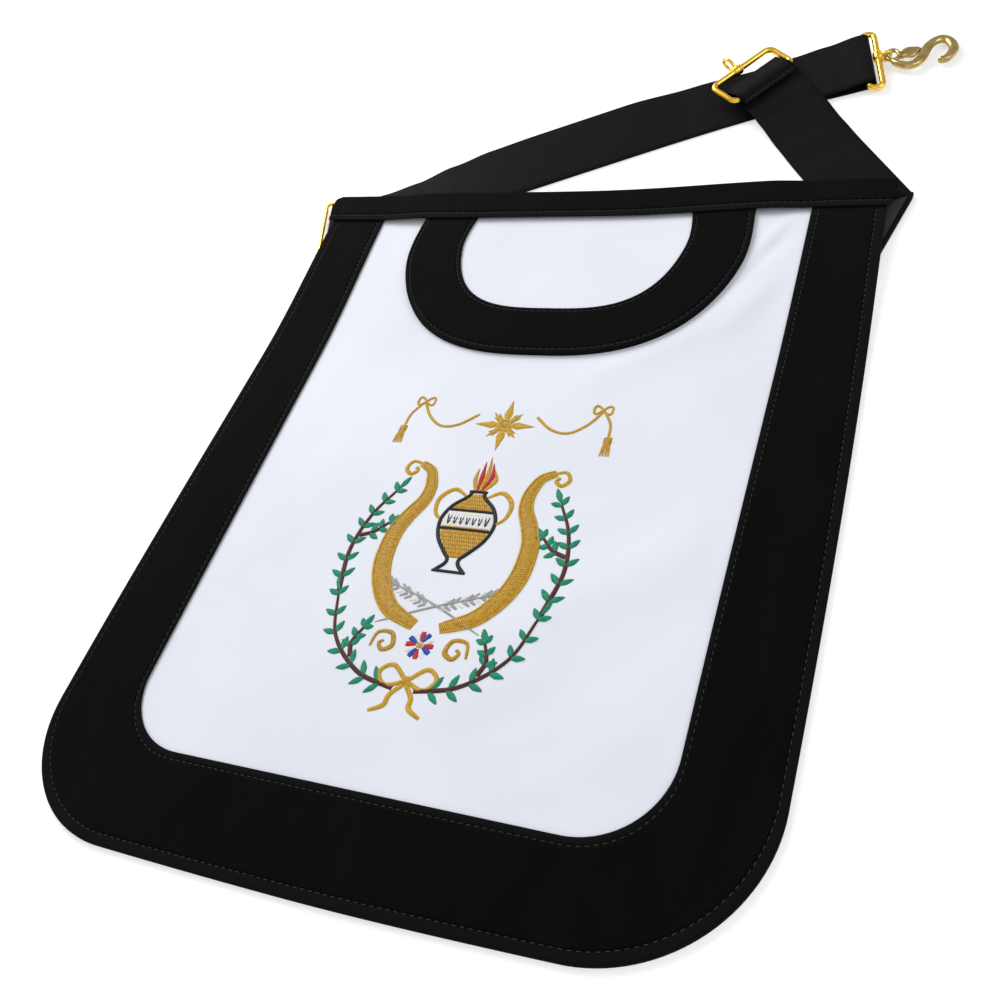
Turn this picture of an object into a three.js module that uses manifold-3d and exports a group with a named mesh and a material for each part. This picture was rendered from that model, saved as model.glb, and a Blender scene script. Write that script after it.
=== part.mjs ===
// Apron with a waist strap, lying flat on its back
// Millimetres. +X is to the wearer's right as drawn, +Y runs up to the waist, +Z is up off the back.
// The origin is the middle of the panel's flat underside.
import * as THREE from 'three';
import { mergeVertices } from 'three/addons/utils/BufferGeometryUtils.js';
import Module from 'manifold-3d';

const wasm = await Module();
wasm.setup();

// Panel and its velvet border
const panelWidth = 323.5;
const panelHeight = 397;
const cornerRadii = { left: 56, right: 66 };
const sideBorder = 40.5;
const bottomBorder = 45.2;
const innerCornerRadii = { left: 32, right: 37 };
const bottomBow = 2.5;
const bottomRise = 2.5;
const bottomRiseStart = -20;
const sideTaper = 5.25;
const topSkew = 3.5;
const sideShift = 0.9;
const leftSag = 3;
const middleSag = 3;
const middleSagAt = -50;
const middleSagReach = 135;
const rightBow = 1.8;
const clothThickness = 1;
const velvetThickness = 1.2;
const layerGap = 0.3;

// Flap
const flapWidth = 196;
const flapDepth = 119;
const flapInnerWidth = 129;
const flapInnerDepth = 88;
const flapRoundness = 2.7;
const flapInnerRoundness = 3.2;
const flapPinch = 6;
const flapOffset = 0;

// Top band
const bandHeight = 19.5;
const bandBackHeight = 10;
const bandThickness = 0.8;
const bandOverhang = 2.2;
const bandEndRound = 4;
const bandEndSlope = 3;

// Waist strap
const strapWidth = 38;
const strapThickness = 0.9;

// Rings, their collars and the hook
const ringWire = 3.4;
const ringLength = 47;
const keeperPitch = 18.5;
const keeperRise = 8;
const hookRingPitch = 7.2;
const hookRingDip = 5;
const keeperCornerRadius = 4;
const hookRingCornerRadius = 3.2;
const collarLength = 5.5;
const collarWall = 1.1;
const eyeWire = 1.8;
const keeperEyeLength = 11;
const hookLinkLength = 6.5;
const eyeWidth = 7.4;
const keeperEyeShare = 0.44;
const keeperEyeRise = 4;
const hookEyeShare = 0.56;
const hookEyeDroop = 4;
const sideLoopWire = 1.8;
const sideLoopLength = 46;
const sideLoopPitch = 5.6;
const sideLoopCorner = 2.5;
const hookThickness = 4;
const hookEyeWire = 2.3;
const hookEyeLength = 11.5;
const hookEyeWidth = 9;

// Where the strap leaves the apron, measured from the panel's upper corners
const loopInset = 4.75;
const loopDrop = 20;
const loopHeading = 16.7;
const creaseOutset = 2.65;
const creaseDrop = 27.6;
const creaseHeading = 75.2;
const sewnHeading = 26.3;
const leftSewnLength = 24;
const leftSewnSlant = 45;
const rightSewnLength = 62;
const leftRunLength = 316.5;
const rightRunLength = 139;
const leftReturnLength = 46;
const leftReturnSkew = 4;
const hookFoldReach = 1.2;
const sleeveReach = 10;
const sleeveFoldRadius = 1.1;

const topY = panelHeight / 2;
const bottomY = -panelHeight / 2;
const halfWidth = panelWidth / 2;

// How high the folded straps lift the panel along its top edge
const middleLift = 1.6;
const leftLift = 4.1;
const rightLift = 2.8;
const leftLiftStart = 0.1;
const leftLiftSpan = 0.42;
const rightLiftStart = 0.1;
const rightLiftSpan = 0.36;
const liftLength = 118;
const liftPlateau = 8;

// The strap's course from the side loop to the hook ring
const leftRun = [
  { along: 0.0, heading: loopHeading, tilt: 0, rise: 0 },
  { along: 0.06, heading: 19.8, tilt: 0, rise: 0 },
  { along: 0.12, heading: 22, tilt: 0, rise: 0 },
  { along: 0.18, heading: 22.8, tilt: 2, rise: 0 },
  { along: 0.26, heading: 23.8, tilt: 8, rise: 0 },
  { along: 0.34, heading: 25.4, tilt: 12, rise: 0 },
  { along: 0.42, heading: 25.8, tilt: 13, rise: 0 },
  { along: 0.6, heading: 25.8, tilt: 13, rise: 0 },
  { along: 0.72, heading: 24.2, tilt: 9, rise: 0 },
  { along: 0.84, heading: 21.2, tilt: 6.5, rise: 0.05 },
  { along: 0.9, heading: 20.5, tilt: 6.5, rise: 1.5 },
  { along: 0.95, heading: 17.5, tilt: 6.5, rise: 2.8 },
  { along: 1.0, heading: 13.5, tilt: 6.5, rise: 5.3 },
];

// The strap's course from the crease to the keeper ring, which rides over the other strap
const keeperHeight = 6.6;
const rightRun = [
  { along: 0.0, heading: 124.1, tilt: 0, rise: 0 },
  { along: 0.5, heading: 124.1, tilt: 0, rise: 0.015 * keeperHeight },
  { along: 0.66, heading: 124.3, tilt: 0, rise: 0.15 * keeperHeight },
  { along: 0.8, heading: 125, tilt: 0, rise: 0.515 * keeperHeight },
  { along: 0.9, heading: 130, tilt: 0, rise: 0.82 * keeperHeight },
  { along: 1.0, heading: 143, tilt: 0, rise: keeperHeight },
];

const velvetMaterial = new THREE.MeshStandardMaterial({ color: 0x111113, roughness: 0.95, metalness: 0 });
const whiteMaterial = new THREE.MeshStandardMaterial({ color: 0xf0f2fa, roughness: 0.7, metalness: 0 });
const webbingMaterial = new THREE.MeshStandardMaterial({ color: 0x18181a, roughness: 0.8, metalness: 0 });
const goldMaterial = new THREE.MeshStandardMaterial({ color: 0xdcaa32, roughness: 0.2, metalness: 1 });
const brassMaterial = new THREE.MeshStandardMaterial({ color: 0xb8974e, roughness: 0.35, metalness: 1 });

function smooth(share) {
  const t = THREE.MathUtils.clamp(share, 0, 1);
  return t * t * (3 - 2 * t);
}

// Value of a named column at a place in a table, eased between rows
function lookUp(table, keyName, valueName, key, easing = (t) => t) {
  if (key <= table[0][keyName]) return table[0][valueName];
  for (let i = 1; i < table.length; i += 1) {
    const before = table[i - 1];
    const after = table[i];
    if (key <= after[keyName]) {
      const t = (key - before[keyName]) / (after[keyName] - before[keyName]);
      return before[valueName] + (after[valueName] - before[valueName]) * easing(t);
    }
  }
  return table[table.length - 1][valueName];
}

// Height of the panel's underside: flat on the floor, lifted by the straps below its top edge
function liftAt(x, y) {
  const across = x / panelWidth;
  const left = leftLift * smooth((leftLiftStart - across) / leftLiftSpan);
  const right = rightLift * smooth((across - rightLiftStart) / rightLiftSpan);
  return (middleLift + left + right) * riseAt(y);
}

// Share of the full lift at a distance up the panel
function riseAt(y) {
  return smooth((y - (topY - liftPlateau - liftLength)) / liftLength);
}

// How far the panel has settled out of square: nothing along its lower edge, all of it at the top
function settleShare(y) {
  const lowest = bottomY + cornerRadii.left;
  return smooth((y - lowest) / (topY - lowest));
}

// A point's place after the panel's top has shifted to the right and its left end has sagged
function settled(x, y) {
  const share = settleShare(y);
  const hump = Math.max(0, 1 - ((x - middleSagAt) / middleSagReach) ** 2) ** 2;
  const sag = leftSag * smooth(-x / (halfWidth - sideTaper)) + middleSag * hump;
  const held = smooth((y - (topY - liftLength)) / liftLength);
  return [x + sideShift + (topSkew - sideShift) * share, y - sag * held];
}

function unitHeading(degrees) {
  const angle = THREE.MathUtils.degToRad(degrees);
  return new THREE.Vector3(Math.cos(angle), Math.sin(angle), 0);
}

function shares(count) {
  return Array.from({ length: count + 1 }, (_, i) => i / count);
}

// Closed geometry whose faces point outwards
function closedGeometry(positions, indices) {
  let volume = 0;
  const corner = (i) => new THREE.Vector3().fromArray(positions, 3 * i);
  for (let i = 0; i < indices.length; i += 3) {
    const [a, b, c] = [corner(indices[i]), corner(indices[i + 1]), corner(indices[i + 2])];
    volume += a.dot(b.cross(c));
  }
  const faces = volume < 0 ? indices.slice().reverse() : indices;
  const geometry = new THREE.BufferGeometry();
  geometry.setAttribute('position', new THREE.Float32BufferAttribute(positions, 3));
  geometry.setIndex(faces);
  return geometry;
}

// Slab between two grids of points, with walls all round
function slab(upperRows, lowerRows) {
  const rowCount = upperRows.length;
  const columnCount = upperRows[0].length;
  const positions = [];
  for (const rows of [upperRows, lowerRows]) {
    for (const row of rows) {
      for (const point of row) positions.push(point.x, point.y, point.z);
    }
  }
  const upper = (i, j) => i * columnCount + j;
  const lower = (i, j) => (rowCount + i) * columnCount + j;
  const indices = [];
  const quad = (a, b, c, d) => indices.push(a, b, c, a, c, d);
  for (let i = 0; i < rowCount - 1; i += 1) {
    for (let j = 0; j < columnCount - 1; j += 1) {
      quad(upper(i, j), upper(i, j + 1), upper(i + 1, j + 1), upper(i + 1, j));
      quad(lower(i, j), lower(i + 1, j), lower(i + 1, j + 1), lower(i, j + 1));
    }
  }
  const lastColumn = columnCount - 1;
  const lastRow = rowCount - 1;
  for (let i = 0; i < lastRow; i += 1) {
    quad(upper(i, 0), upper(i + 1, 0), lower(i + 1, 0), lower(i, 0));
    quad(upper(i + 1, lastColumn), upper(i, lastColumn), lower(i, lastColumn), lower(i + 1, lastColumn));
  }
  for (let j = 0; j < lastColumn; j += 1) {
    quad(upper(0, j + 1), upper(0, j), lower(0, j), lower(0, j + 1));
    quad(upper(lastRow, j), upper(lastRow, j + 1), lower(lastRow, j + 1), lower(lastRow, j));
  }
  return closedGeometry(positions, indices);
}

// Cloth lying on the layers below it: a plan point for each pair of shares
function layer(planAt, rowShares, columnShares, heightBelow, thickness) {
  const lowerRows = [];
  const upperRows = [];
  for (const v of rowShares) {
    const plan = columnShares.map((u) => planAt(u, v)).map(([x, y]) => settled(x, y));
    const below = plan.map(([x, y]) => new THREE.Vector3(x, y, liftAt(x, y) + heightBelow));
    lowerRows.push(below);
    upperRows.push(below.map((point) => point.clone().setZ(point.z + thickness)));
  }
  return slab(upperRows, lowerRows);
}

// A point of the U that runs down the left side, round the bottom and up the right side
function borderEdge(share, half, radii, lowY, bow, rise, taper, sideBow) {
  const sign = share < 0.5 ? -1 : 1;
  const radius = sign < 0 ? radii.left : radii.right;
  const straight = topY - lowY - radius;
  const arc = (Math.PI / 2) * radius;
  const total = 2 * (straight + arc + half - radius);
  const along = (share < 0.5 ? share : 1 - share) * total;
  const riseSpan = half - bottomRiseStart;
  const lowered = (x) => bow * (1 - (x / half) ** 2) - rise * smooth((x - bottomRiseStart) / riseSpan);
  if (along <= straight) {
    const y = topY - along * (1 - (sign > 0 ? rise / straight : 0));
    const bowed = sign > 0 ? sideBow * Math.sin((Math.PI * along) / straight) : 0;
    return [sign * (half - taper * settleShare(y)) + bowed, y];
  }
  if (along <= straight + arc) {
    const angle = (along - straight) / radius;
    const x = sign * (half - radius + radius * Math.cos(angle));
    const y = lowY + radius - radius * Math.sin(angle);
    const part = sign > 0 ? 1 : Math.sin(angle);
    return [x - sign * taper * settleShare(y), y - lowered(x) * part];
  }
  const x = sign * (half - radius - (along - straight - arc));
  return [x, lowY - lowered(x)];
}

const outerEdge = (share) => borderEdge(share, halfWidth, cornerRadii, bottomY + bottomBow,
  bottomBow, bottomRise, sideTaper, rightBow);
const innerEdge = (share) => borderEdge(share, halfWidth - sideBorder, innerCornerRadii,
  bottomY + bottomBorder, 0, 0, 0, 0);

// Shares along the U, closer together where the cloth is lifted and round the corners
const liftedSteps = 14;
const liftedShare = 0.165;
const cornerSteps = 10;
const cornerStart = 0.325;
const cornerEnd = 0.45;

function borderShares() {
  const lifted = shares(liftedSteps).map((s) => s * liftedShare);
  const flat = [0.21, 0.26, 0.3];
  const corner = shares(cornerSteps).map((s) => cornerStart + (cornerEnd - cornerStart) * s);
  const left = [...lifted, ...flat, ...corner, 0.475];
  return [...left, 0.5, ...left.map((s) => 1 - s).reverse()];
}

// Panel: each row runs between matching points of the two sides of the U
function panelGeometry() {
  const lastRow = 0.475;
  const rows = borderShares().filter((s) => s <= lastRow).reverse();
  const [, middleY] = outerEdge(0.5);
  const planAt = (u, v) => {
    const [leftX, leftY] = outerEdge(v);
    const [rightX, rightY] = outerEdge(1 - v);
    const across = 2 * u - 1;
    const bow = v === lastRow ? (middleY - (leftY + rightY) / 2) * (1 - across * across) : 0;
    return [leftX + (rightX - leftX) * u, leftY + (rightY - leftY) * u + bow];
  };
  return layer(planAt, rows, shares(18), 0, clothThickness);
}

const borderBelow = clothThickness + layerGap;
const flapBelow = clothThickness + layerGap;
const flapBorderBelow = flapBelow + clothThickness + layerGap;

function borderGeometry() {
  const planAt = (u, v) => {
    const [outerX, outerY] = outerEdge(u);
    const [innerX, innerY] = innerEdge(u);
    return [outerX + (innerX - outerX) * v, outerY + (innerY - outerY) * v];
  };
  const across = [0, 0.34, 0.67, 1];
  const rows = borderShares();
  return layer((u, v) => planAt(v, u), rows, across, borderBelow, velvetThickness);
}

// A point of the flap's rim: a rounded tongue, a little narrower where the band holds it
function tongue(angleShare, half, depth, roundness) {
  const angle = Math.PI * (1 - angleShare);
  const c = Math.cos(angle);
  const s = Math.sin(angle);
  const power = 2 / roundness;
  const down = Math.abs(s) ** power;
  const held = half - flapPinch * (1 - smooth(2 * down));
  return [flapOffset + held * Math.sign(c) * Math.abs(c) ** power, topY - depth * down];
}

function flapGeometry() {
  const rows = shares(26).filter((s) => s <= 0.5).map((s) => Math.min(s, 0.49));
  const planAt = (u, v) => {
    const [leftX, y] = tongue(v, flapWidth / 2, flapDepth, flapRoundness);
    const [rightX] = tongue(1 - v, flapWidth / 2, flapDepth, flapRoundness);
    return [leftX + (rightX - leftX) * u, y];
  };
  return layer(planAt, rows, shares(12), flapBelow, clothThickness);
}

function flapBorderGeometry() {
  const planAt = (u, v) => {
    const [outerX, outerY] = tongue(u, flapWidth / 2, flapDepth, flapRoundness);
    const [innerX, innerY] = tongue(u, flapInnerWidth / 2, flapInnerDepth, flapInnerRoundness);
    return [outerX + (innerX - outerX) * v, outerY + (innerY - outerY) * v];
  };
  return layer((u, v) => planAt(v, u), shares(30), [0, 0.5, 1], flapBorderBelow, velvetThickness);
}

// Top band: a ribbon folded over the top edge, its front hem low and its back hem short
function bandGeometry() {
  const stackHeight = flapBorderBelow + velvetThickness;
  const sideHeight = borderBelow + velvetThickness;
  const topHalf = halfWidth - sideTaper;
  const bridgeStart = flapWidth / 2 - flapPinch + flapOffset + 3;
  const bridgeEnd = halfWidth - sideBorder - 2;
  const frontOf = (x) => {
    const step = smooth((Math.abs(x - topSkew) - bridgeStart) / (bridgeEnd - bridgeStart));
    return stackHeight + (sideHeight - stackHeight) * step + layerGap + bandThickness / 2;
  };
  const backOffset = -layerGap - bandThickness / 2;
  const foldSteps = 6;
  const section = (x) => {
    const lift = liftAt(x, topY);
    const front = lift + frontOf(x);
    const back = lift + backOffset;
    const radius = (front - back) / 2;
    const foldY = topY + layerGap + bandThickness / 2;
    const points = [0, 0.5, 1].map((s) => {
      const y = topY - bandHeight + (foldY - topY + bandHeight) * s;
      return { y, z: liftAt(x, y) + frontOf(x), ny: 0, nz: 1 };
    });
    for (let i = 1; i < foldSteps; i += 1) {
      const angle = Math.PI / 2 - (Math.PI * i) / foldSteps;
      const bulge = radius * 0.55;
      points.push({
        y: foldY + bulge * Math.cos(angle),
        z: (front + back) / 2 + radius * Math.sin(angle),
        ny: Math.cos(angle),
        nz: Math.sin(angle),
      });
    }
    points.push({ y: foldY, z: back, ny: 0, nz: -1 });
    const hemY = topY - bandBackHeight;
    points.push({ y: hemY, z: liftAt(x, hemY) + backOffset, ny: 0, nz: -1 });
    return points;
  };
  const outer = [];
  const inner = [];
  const frontPoints = 3;
  for (const u of shares(30)) {
    const side = 2 * u - 1;
    const [middleX, settledY] = settled(side * topHalf, topY);
    const points = section(middleX);
    const place = (point, index, offset) => {
      const frontShare = Math.min(index / (frontPoints - 1), 1);
      const pastFold = index >= frontPoints - 1 ? bandEndRound / 2 : 0;
      const beyond = side * (bandOverhang + bandEndSlope * frontShare - pastFold);
      const y = point.y + settledY - topY + point.ny * offset;
      return new THREE.Vector3(middleX + beyond, y, point.z + point.nz * offset);
    };
    outer.push(points.map((point, index) => place(point, index, bandThickness / 2)));
    inner.push(points.map((point, index) => place(point, index, -bandThickness / 2)));
  }
  return slab(outer, inner);
}

// A strap is a list of stations: a centre and the vector from it to the strap's left edge
function station(centre, half) {
  return { centre: centre.clone(), half: half.clone() };
}

function strapGeometry(stations, thickness) {
  const upper = [];
  const lower = [];
  stations.forEach((here, i) => {
    const before = stations[Math.max(i - 1, 0)];
    const after = stations[Math.min(i + 1, stations.length - 1)];
    const along = after.centre.clone().sub(before.centre).normalize();
    const normal = here.half.clone().normalize().cross(along).normalize().negate();
    const offset = normal.multiplyScalar(thickness / 2);
    const points = [1, 0, -1].map((side) => here.centre.clone().addScaledVector(here.half, side));
    upper.push(points.map((point) => point.clone().add(offset)));
    lower.push(points.map((point) => point.clone().sub(offset)));
  });
  return slab(upper, lower);
}

// Stations along a course on the floor, whose right edge carries the rise and the tilt
function runStations(start, table, length, count, floorHeight) {
  const stations = [];
  const point = start.clone();
  let last = 0;
  for (const share of shares(count)) {
    const middle = (share + last) / 2;
    const step = (share - last) * length;
    point.addScaledVector(unitHeading(lookUp(table, 'along', 'heading', middle)), step);
    const heading = lookUp(table, 'along', 'heading', share);
    const tilt = THREE.MathUtils.degToRad(lookUp(table, 'along', 'tilt', share, smooth));
    const half = unitHeading(heading + 90).multiplyScalar(Math.cos(tilt) * strapWidth / 2);
    half.z = Math.sin(tilt) * strapWidth / 2;
    const rise = lookUp(table, 'along', 'rise', share, smooth);
    const lowEdge = point.clone().setZ(floorHeight + rise);
    stations.push(station(lowEdge.add(half), half));
    last = share;
  }
  return stations;
}

// Half turn of the strap about an axis line, from one side of it to the other
function foldStations(axisCentre, half, outward, up, radius, steps) {
  const result = [];
  for (let i = 1; i < steps; i += 1) {
    const angle = Math.PI * (i / steps) - Math.PI / 2;
    const centre = axisCentre.clone()
      .addScaledVector(outward, radius * Math.cos(angle))
      .addScaledVector(up, radius * Math.sin(angle));
    result.push(station(centre, half));
  }
  return result;
}

const up = new THREE.Vector3(0, 0, 1);
const strapHalf = strapThickness / 2;
const stackStep = strapThickness + layerGap;
const wrapRadius = (wire) => wire / 2 + layerGap + strapHalf;

// Left strap, from its sewn end under the panel round the side loop and on to the hook ring
const loopBar = new THREE.Vector3(
  -halfWidth + loopInset,
  topY - loopDrop,
  strapHalf + wrapRadius(sideLoopWire),
);
const loopOut = unitHeading(loopHeading + 180);
const loopHalf = unitHeading(loopHeading + 90).multiplyScalar(strapWidth / 2);
const leftStart = loopBar.clone().sub(loopHalf);
const leftStations = runStations(leftStart, leftRun, leftRunLength, 34, strapHalf);

function sewnLayer() {
  const result = [];
  const top = loopBar.z + wrapRadius(sideLoopWire);
  const sewnTop = middleLift + leftLift - bandThickness - 2 * layerGap - strapHalf;
  for (const share of shares(5)) {
    const centre = loopBar.clone().addScaledVector(loopOut, -leftSewnLength * (1 - share));
    centre.z = sewnTop + (top - sewnTop) * smooth(share * 2.5 - 1.5);
    const lean = Math.tan(THREE.MathUtils.degToRad(leftSewnSlant * (1 - share))) * strapWidth / 2;
    result.push(station(centre, loopHalf.clone().addScaledVector(loopOut, lean)));
  }
  return result;
}

// Frame of a ring: its inner bar in the strap, its outer bar ahead of it
function ringFrame(bar, out, along, pitch) {
  const normal = out.clone().cross(along).normalize();
  return { bar, out: out.clone().normalize(), along: along.clone().normalize(), normal, pitch };
}

const leftEnd = leftStations[leftStations.length - 1];
const beforeEnd = leftStations[leftStations.length - 2];
const leftEndHalf = leftEnd.half.clone();
const leftEndOut = unitHeading(leftRun[leftRun.length - 1].heading);
const leftEndUp = leftEndOut.clone().cross(leftEndHalf).normalize();
const hookBar = leftEnd.centre.clone().addScaledVector(leftEndUp, -wrapRadius(ringWire));
const hookRingOut = leftEndOut.clone()
  .applyAxisAngle(leftEndHalf.clone().normalize(), THREE.MathUtils.degToRad(hookRingDip));
const hookRingFrame = ringFrame(hookBar, hookRingOut, leftEndHalf, hookRingPitch);

// The end runs on past the bar, turns under it and comes back below the strap
function leftReturn() {
  const axis = hookBar.clone().addScaledVector(leftEndOut, hookFoldReach);
  const radius = wrapRadius(ringWire);
  const turn = foldStations(axis, leftEndHalf, leftEndOut, leftEndUp.clone().negate(), radius, 6);
  const result = [...turn];
  const backWay = unitHeading(leftRun[leftRun.length - 1].heading + 180 + leftReturnSkew);
  const slope = [
    { along: 0, depth: 1 },
    { along: 0.1, depth: 0.93 },
    { along: 0.28, depth: 0.45 },
    { along: 1, depth: 0 },
  ];
  for (const share of [0.06, 0.16, 0.28, 0.45, 0.65, 0.85, 1]) {
    const distance = share * leftReturnLength - hookFoldReach;
    const centre = hookBar.clone().addScaledVector(backWay, distance);
    const tilt = THREE.MathUtils.degToRad(leftRun[leftRun.length - 1].tilt);
    const half = backWay.clone().applyAxisAngle(up, -Math.PI / 2).multiplyScalar(Math.cos(tilt) * strapWidth / 2);
    half.z = Math.sin(tilt) * strapWidth / 2;
    const low = lookUp(slope, 'along', 'depth', share) * (hookBar.z - leftEndHalf.z
      - wrapRadius(ringWire) - strapHalf);
    centre.z = strapHalf + Math.max(low, 0) + half.z;
    result.push(station(centre, half));
  }
  return result;
}

const leftStrapStations = [
  ...sewnLayer(),
  ...foldStations(loopBar, loopHalf, loopOut, up.clone().negate(), wrapRadius(sideLoopWire), 6),
  ...leftStations,
  ...leftReturn(),
];

// Right strap, from its sewn end under the panel round the crease and on to the keeper ring
const creaseRadius = (stackStep + layerGap) / 2;
const creaseCentre = new THREE.Vector3(halfWidth + creaseOutset, topY - creaseDrop, strapHalf + creaseRadius);
const creaseLine = unitHeading(creaseHeading);
const runHeading = rightRun[0].heading;
const creaseHalf = creaseLine.clone().multiplyScalar(
  strapWidth / 2 / Math.sin(THREE.MathUtils.degToRad(runHeading - creaseHeading)),
);
const creaseOut = unitHeading(creaseHeading - 90);

// Cross line of a strap that turns from square to slanted as it nears a crease
function slantedHalf(heading, slant) {
  const square = unitHeading(heading + 90).multiplyScalar(strapWidth / 2);
  const angle = THREE.MathUtils.degToRad(slant);
  return square.addScaledVector(unitHeading(heading), Math.tan(angle) * strapWidth / 2);
}

function incomingLayer() {
  const result = [];
  const sewnCorner = creaseCentre.clone()
    .addScaledVector(unitHeading(sewnHeading), -rightSewnLength)
    .addScaledVector(unitHeading(sewnHeading - 90), strapWidth / 2);
  const startHeight = liftAt(sewnCorner.x, sewnCorner.y) - layerGap - strapHalf;
  const endHeight = creaseCentre.z + creaseRadius;
  const slant = creaseHeading - (sewnHeading + 90);
  for (const share of shares(7)) {
    const centre = creaseCentre.clone().addScaledVector(unitHeading(sewnHeading), -rightSewnLength * (1 - share));
    centre.z = startHeight + (endHeight - startHeight) * smooth(share);
    const half = slantedHalf(sewnHeading, -slant * smooth(share * 2 - 1));
    result.push(station(centre, half));
  }
  return result;
}

function rightRunStations() {
  const result = [];
  const point = creaseCentre.clone().setZ(strapHalf);
  const slant = runHeading - 90 - creaseHeading;
  let last = 0;
  for (const share of shares(20)) {
    const middle = (share + last) / 2;
    const step = (share - last) * rightRunLength;
    point.addScaledVector(unitHeading(lookUp(rightRun, 'along', 'heading', middle)), step);
    const heading = lookUp(rightRun, 'along', 'heading', share);
    const half = slantedHalf(heading, slant * (1 - smooth(share * 4.5))).negate();
    const centre = point.clone().setZ(strapHalf + lookUp(rightRun, 'along', 'rise', share, smooth));
    result.push(station(centre, half));
    last = share;
  }
  return result;
}

const rightStations = rightRunStations();
const rightEnd = rightStations[rightStations.length - 1];
const keeperHeading = rightRun[rightRun.length - 1].heading;
const keeperOut = unitHeading(keeperHeading);
const keeperHalf = rightEnd.half.clone();
const keeperBar = rightEnd.centre.clone().addScaledVector(up, wrapRadius(ringWire));
const keeperRingOut = keeperOut.clone()
  .applyAxisAngle(keeperHalf.clone().normalize(), THREE.MathUtils.degToRad(keeperRise));
const keeperFrame = ringFrame(keeperBar, keeperRingOut, keeperHalf.clone().negate(), keeperPitch);

// The end runs on through the ring, folds up and comes back over the inner bar to its seam
const sleeveNear = 3;
const sleeveMiddle = 6.5;
const sleeveBack = 2.5;
const sleeveSeam = 6;
const sleeveDip = 0.1;
const sleeveBulge = 0.5;
const sleeveSeamGap = 0.35;

function keeperSleeve() {
  const axis = keeperBar.clone().addScaledVector(keeperOut, sleeveReach);
  const result = [];
  const bottom = rightEnd.centre.z;
  const top = keeperBar.z + wrapRadius(ringWire);
  const place = (distance, height) => {
    const centre = keeperBar.clone().addScaledVector(keeperOut, distance).setZ(height);
    return station(centre, keeperHalf);
  };
  result.push(place(sleeveNear, bottom + sleeveDip));
  result.push(place(sleeveMiddle, keeperBar.z - sleeveFoldRadius - sleeveBulge));
  result.push(place(sleeveReach, keeperBar.z - sleeveFoldRadius));
  result.push(...foldStations(axis, keeperHalf, keeperOut, up, sleeveFoldRadius, 6));
  result.push(place(sleeveReach, keeperBar.z + sleeveFoldRadius));
  result.push(place(sleeveMiddle, keeperBar.z + sleeveFoldRadius + sleeveBulge));
  result.push(place(sleeveNear, top - sleeveDip));
  result.push(place(0, top));
  result.push(place(-sleeveBack, top - sleeveBulge));
  result.push(place(-sleeveSeam, bottom + stackStep + sleeveSeamGap));
  return result;
}

const rightStrapStations = [
  ...incomingLayer(),
  ...foldStations(creaseCentre, creaseHalf, creaseOut, up.clone().negate(), creaseRadius, 6),
  ...rightStations,
  ...keeperSleeve(),
];

// Wire bent to a rectangle with round corners, in a ring's frame
function wireLoop(frame, wire, length, pitch, cornerRadiusOfLoop) {
  const halfAlong = (length - wire) / 2;
  const r = cornerRadiusOfLoop;
  const corners = [
    { along: -1, out: 0, turn: Math.PI },
    { along: 1, out: 0, turn: -Math.PI / 2 },
    { along: 1, out: 1, turn: 0 },
    { along: -1, out: 1, turn: Math.PI / 2 },
  ];
  const cornerSteps = 4;
  const points = [];
  for (const corner of corners) {
    const centreAlong = corner.along * (halfAlong - r);
    const centreOut = corner.out ? pitch - r : r;
    for (let i = 0; i <= cornerSteps; i += 1) {
      const angle = corner.turn + (Math.PI / 2) * (i / cornerSteps);
      points.push(new THREE.Vector2(centreAlong + r * Math.cos(angle), centreOut + r * Math.sin(angle)));
    }
  }
  return closedWire(points.map((p) => frame.bar.clone()
    .addScaledVector(frame.along, p.x)
    .addScaledVector(frame.out, p.y)), frame.normal, wire / 2, 8);
}

// Round wire along a closed flat path
function closedWire(path, normal, radius, sides) {
  const positions = [];
  const indices = [];
  const count = path.length;
  path.forEach((point, i) => {
    const before = path[(i + count - 1) % count];
    const after = path[(i + 1) % count];
    const inWay = point.clone().sub(before).normalize();
    const outWay = after.clone().sub(point).normalize();
    const tangent = inWay.clone().add(outWay).normalize();
    const side = tangent.clone().cross(normal).normalize();
    const widen = 1 / Math.max(tangent.dot(outWay), 0.5);
    for (let j = 0; j < sides; j += 1) {
      const angle = (2 * Math.PI * (j + 0.5)) / sides;
      const vertex = point.clone()
        .addScaledVector(side, radius * widen * Math.cos(angle))
        .addScaledVector(normal, radius * Math.sin(angle));
      positions.push(vertex.x, vertex.y, vertex.z);
    }
  });
  for (let i = 0; i < count; i += 1) {
    for (let j = 0; j < sides; j += 1) {
      const a = i * sides + j;
      const b = i * sides + ((j + 1) % sides);
      const c = ((i + 1) % count) * sides + ((j + 1) % sides);
      const d = ((i + 1) % count) * sides + j;
      indices.push(a, b, c, a, c, d);
    }
  }
  return closedGeometry(positions, indices);
}

// Flat oval path in a plane
function ovalPath(centre, longWay, shortWay, length, width, count) {
  return Array.from({ length: count }, (_, i) => {
    const angle = (2 * Math.PI * i) / count;
    return centre.clone()
      .addScaledVector(longWay, (length / 2) * Math.cos(angle))
      .addScaledVector(shortWay, (width / 2) * Math.sin(angle));
  });
}

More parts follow.
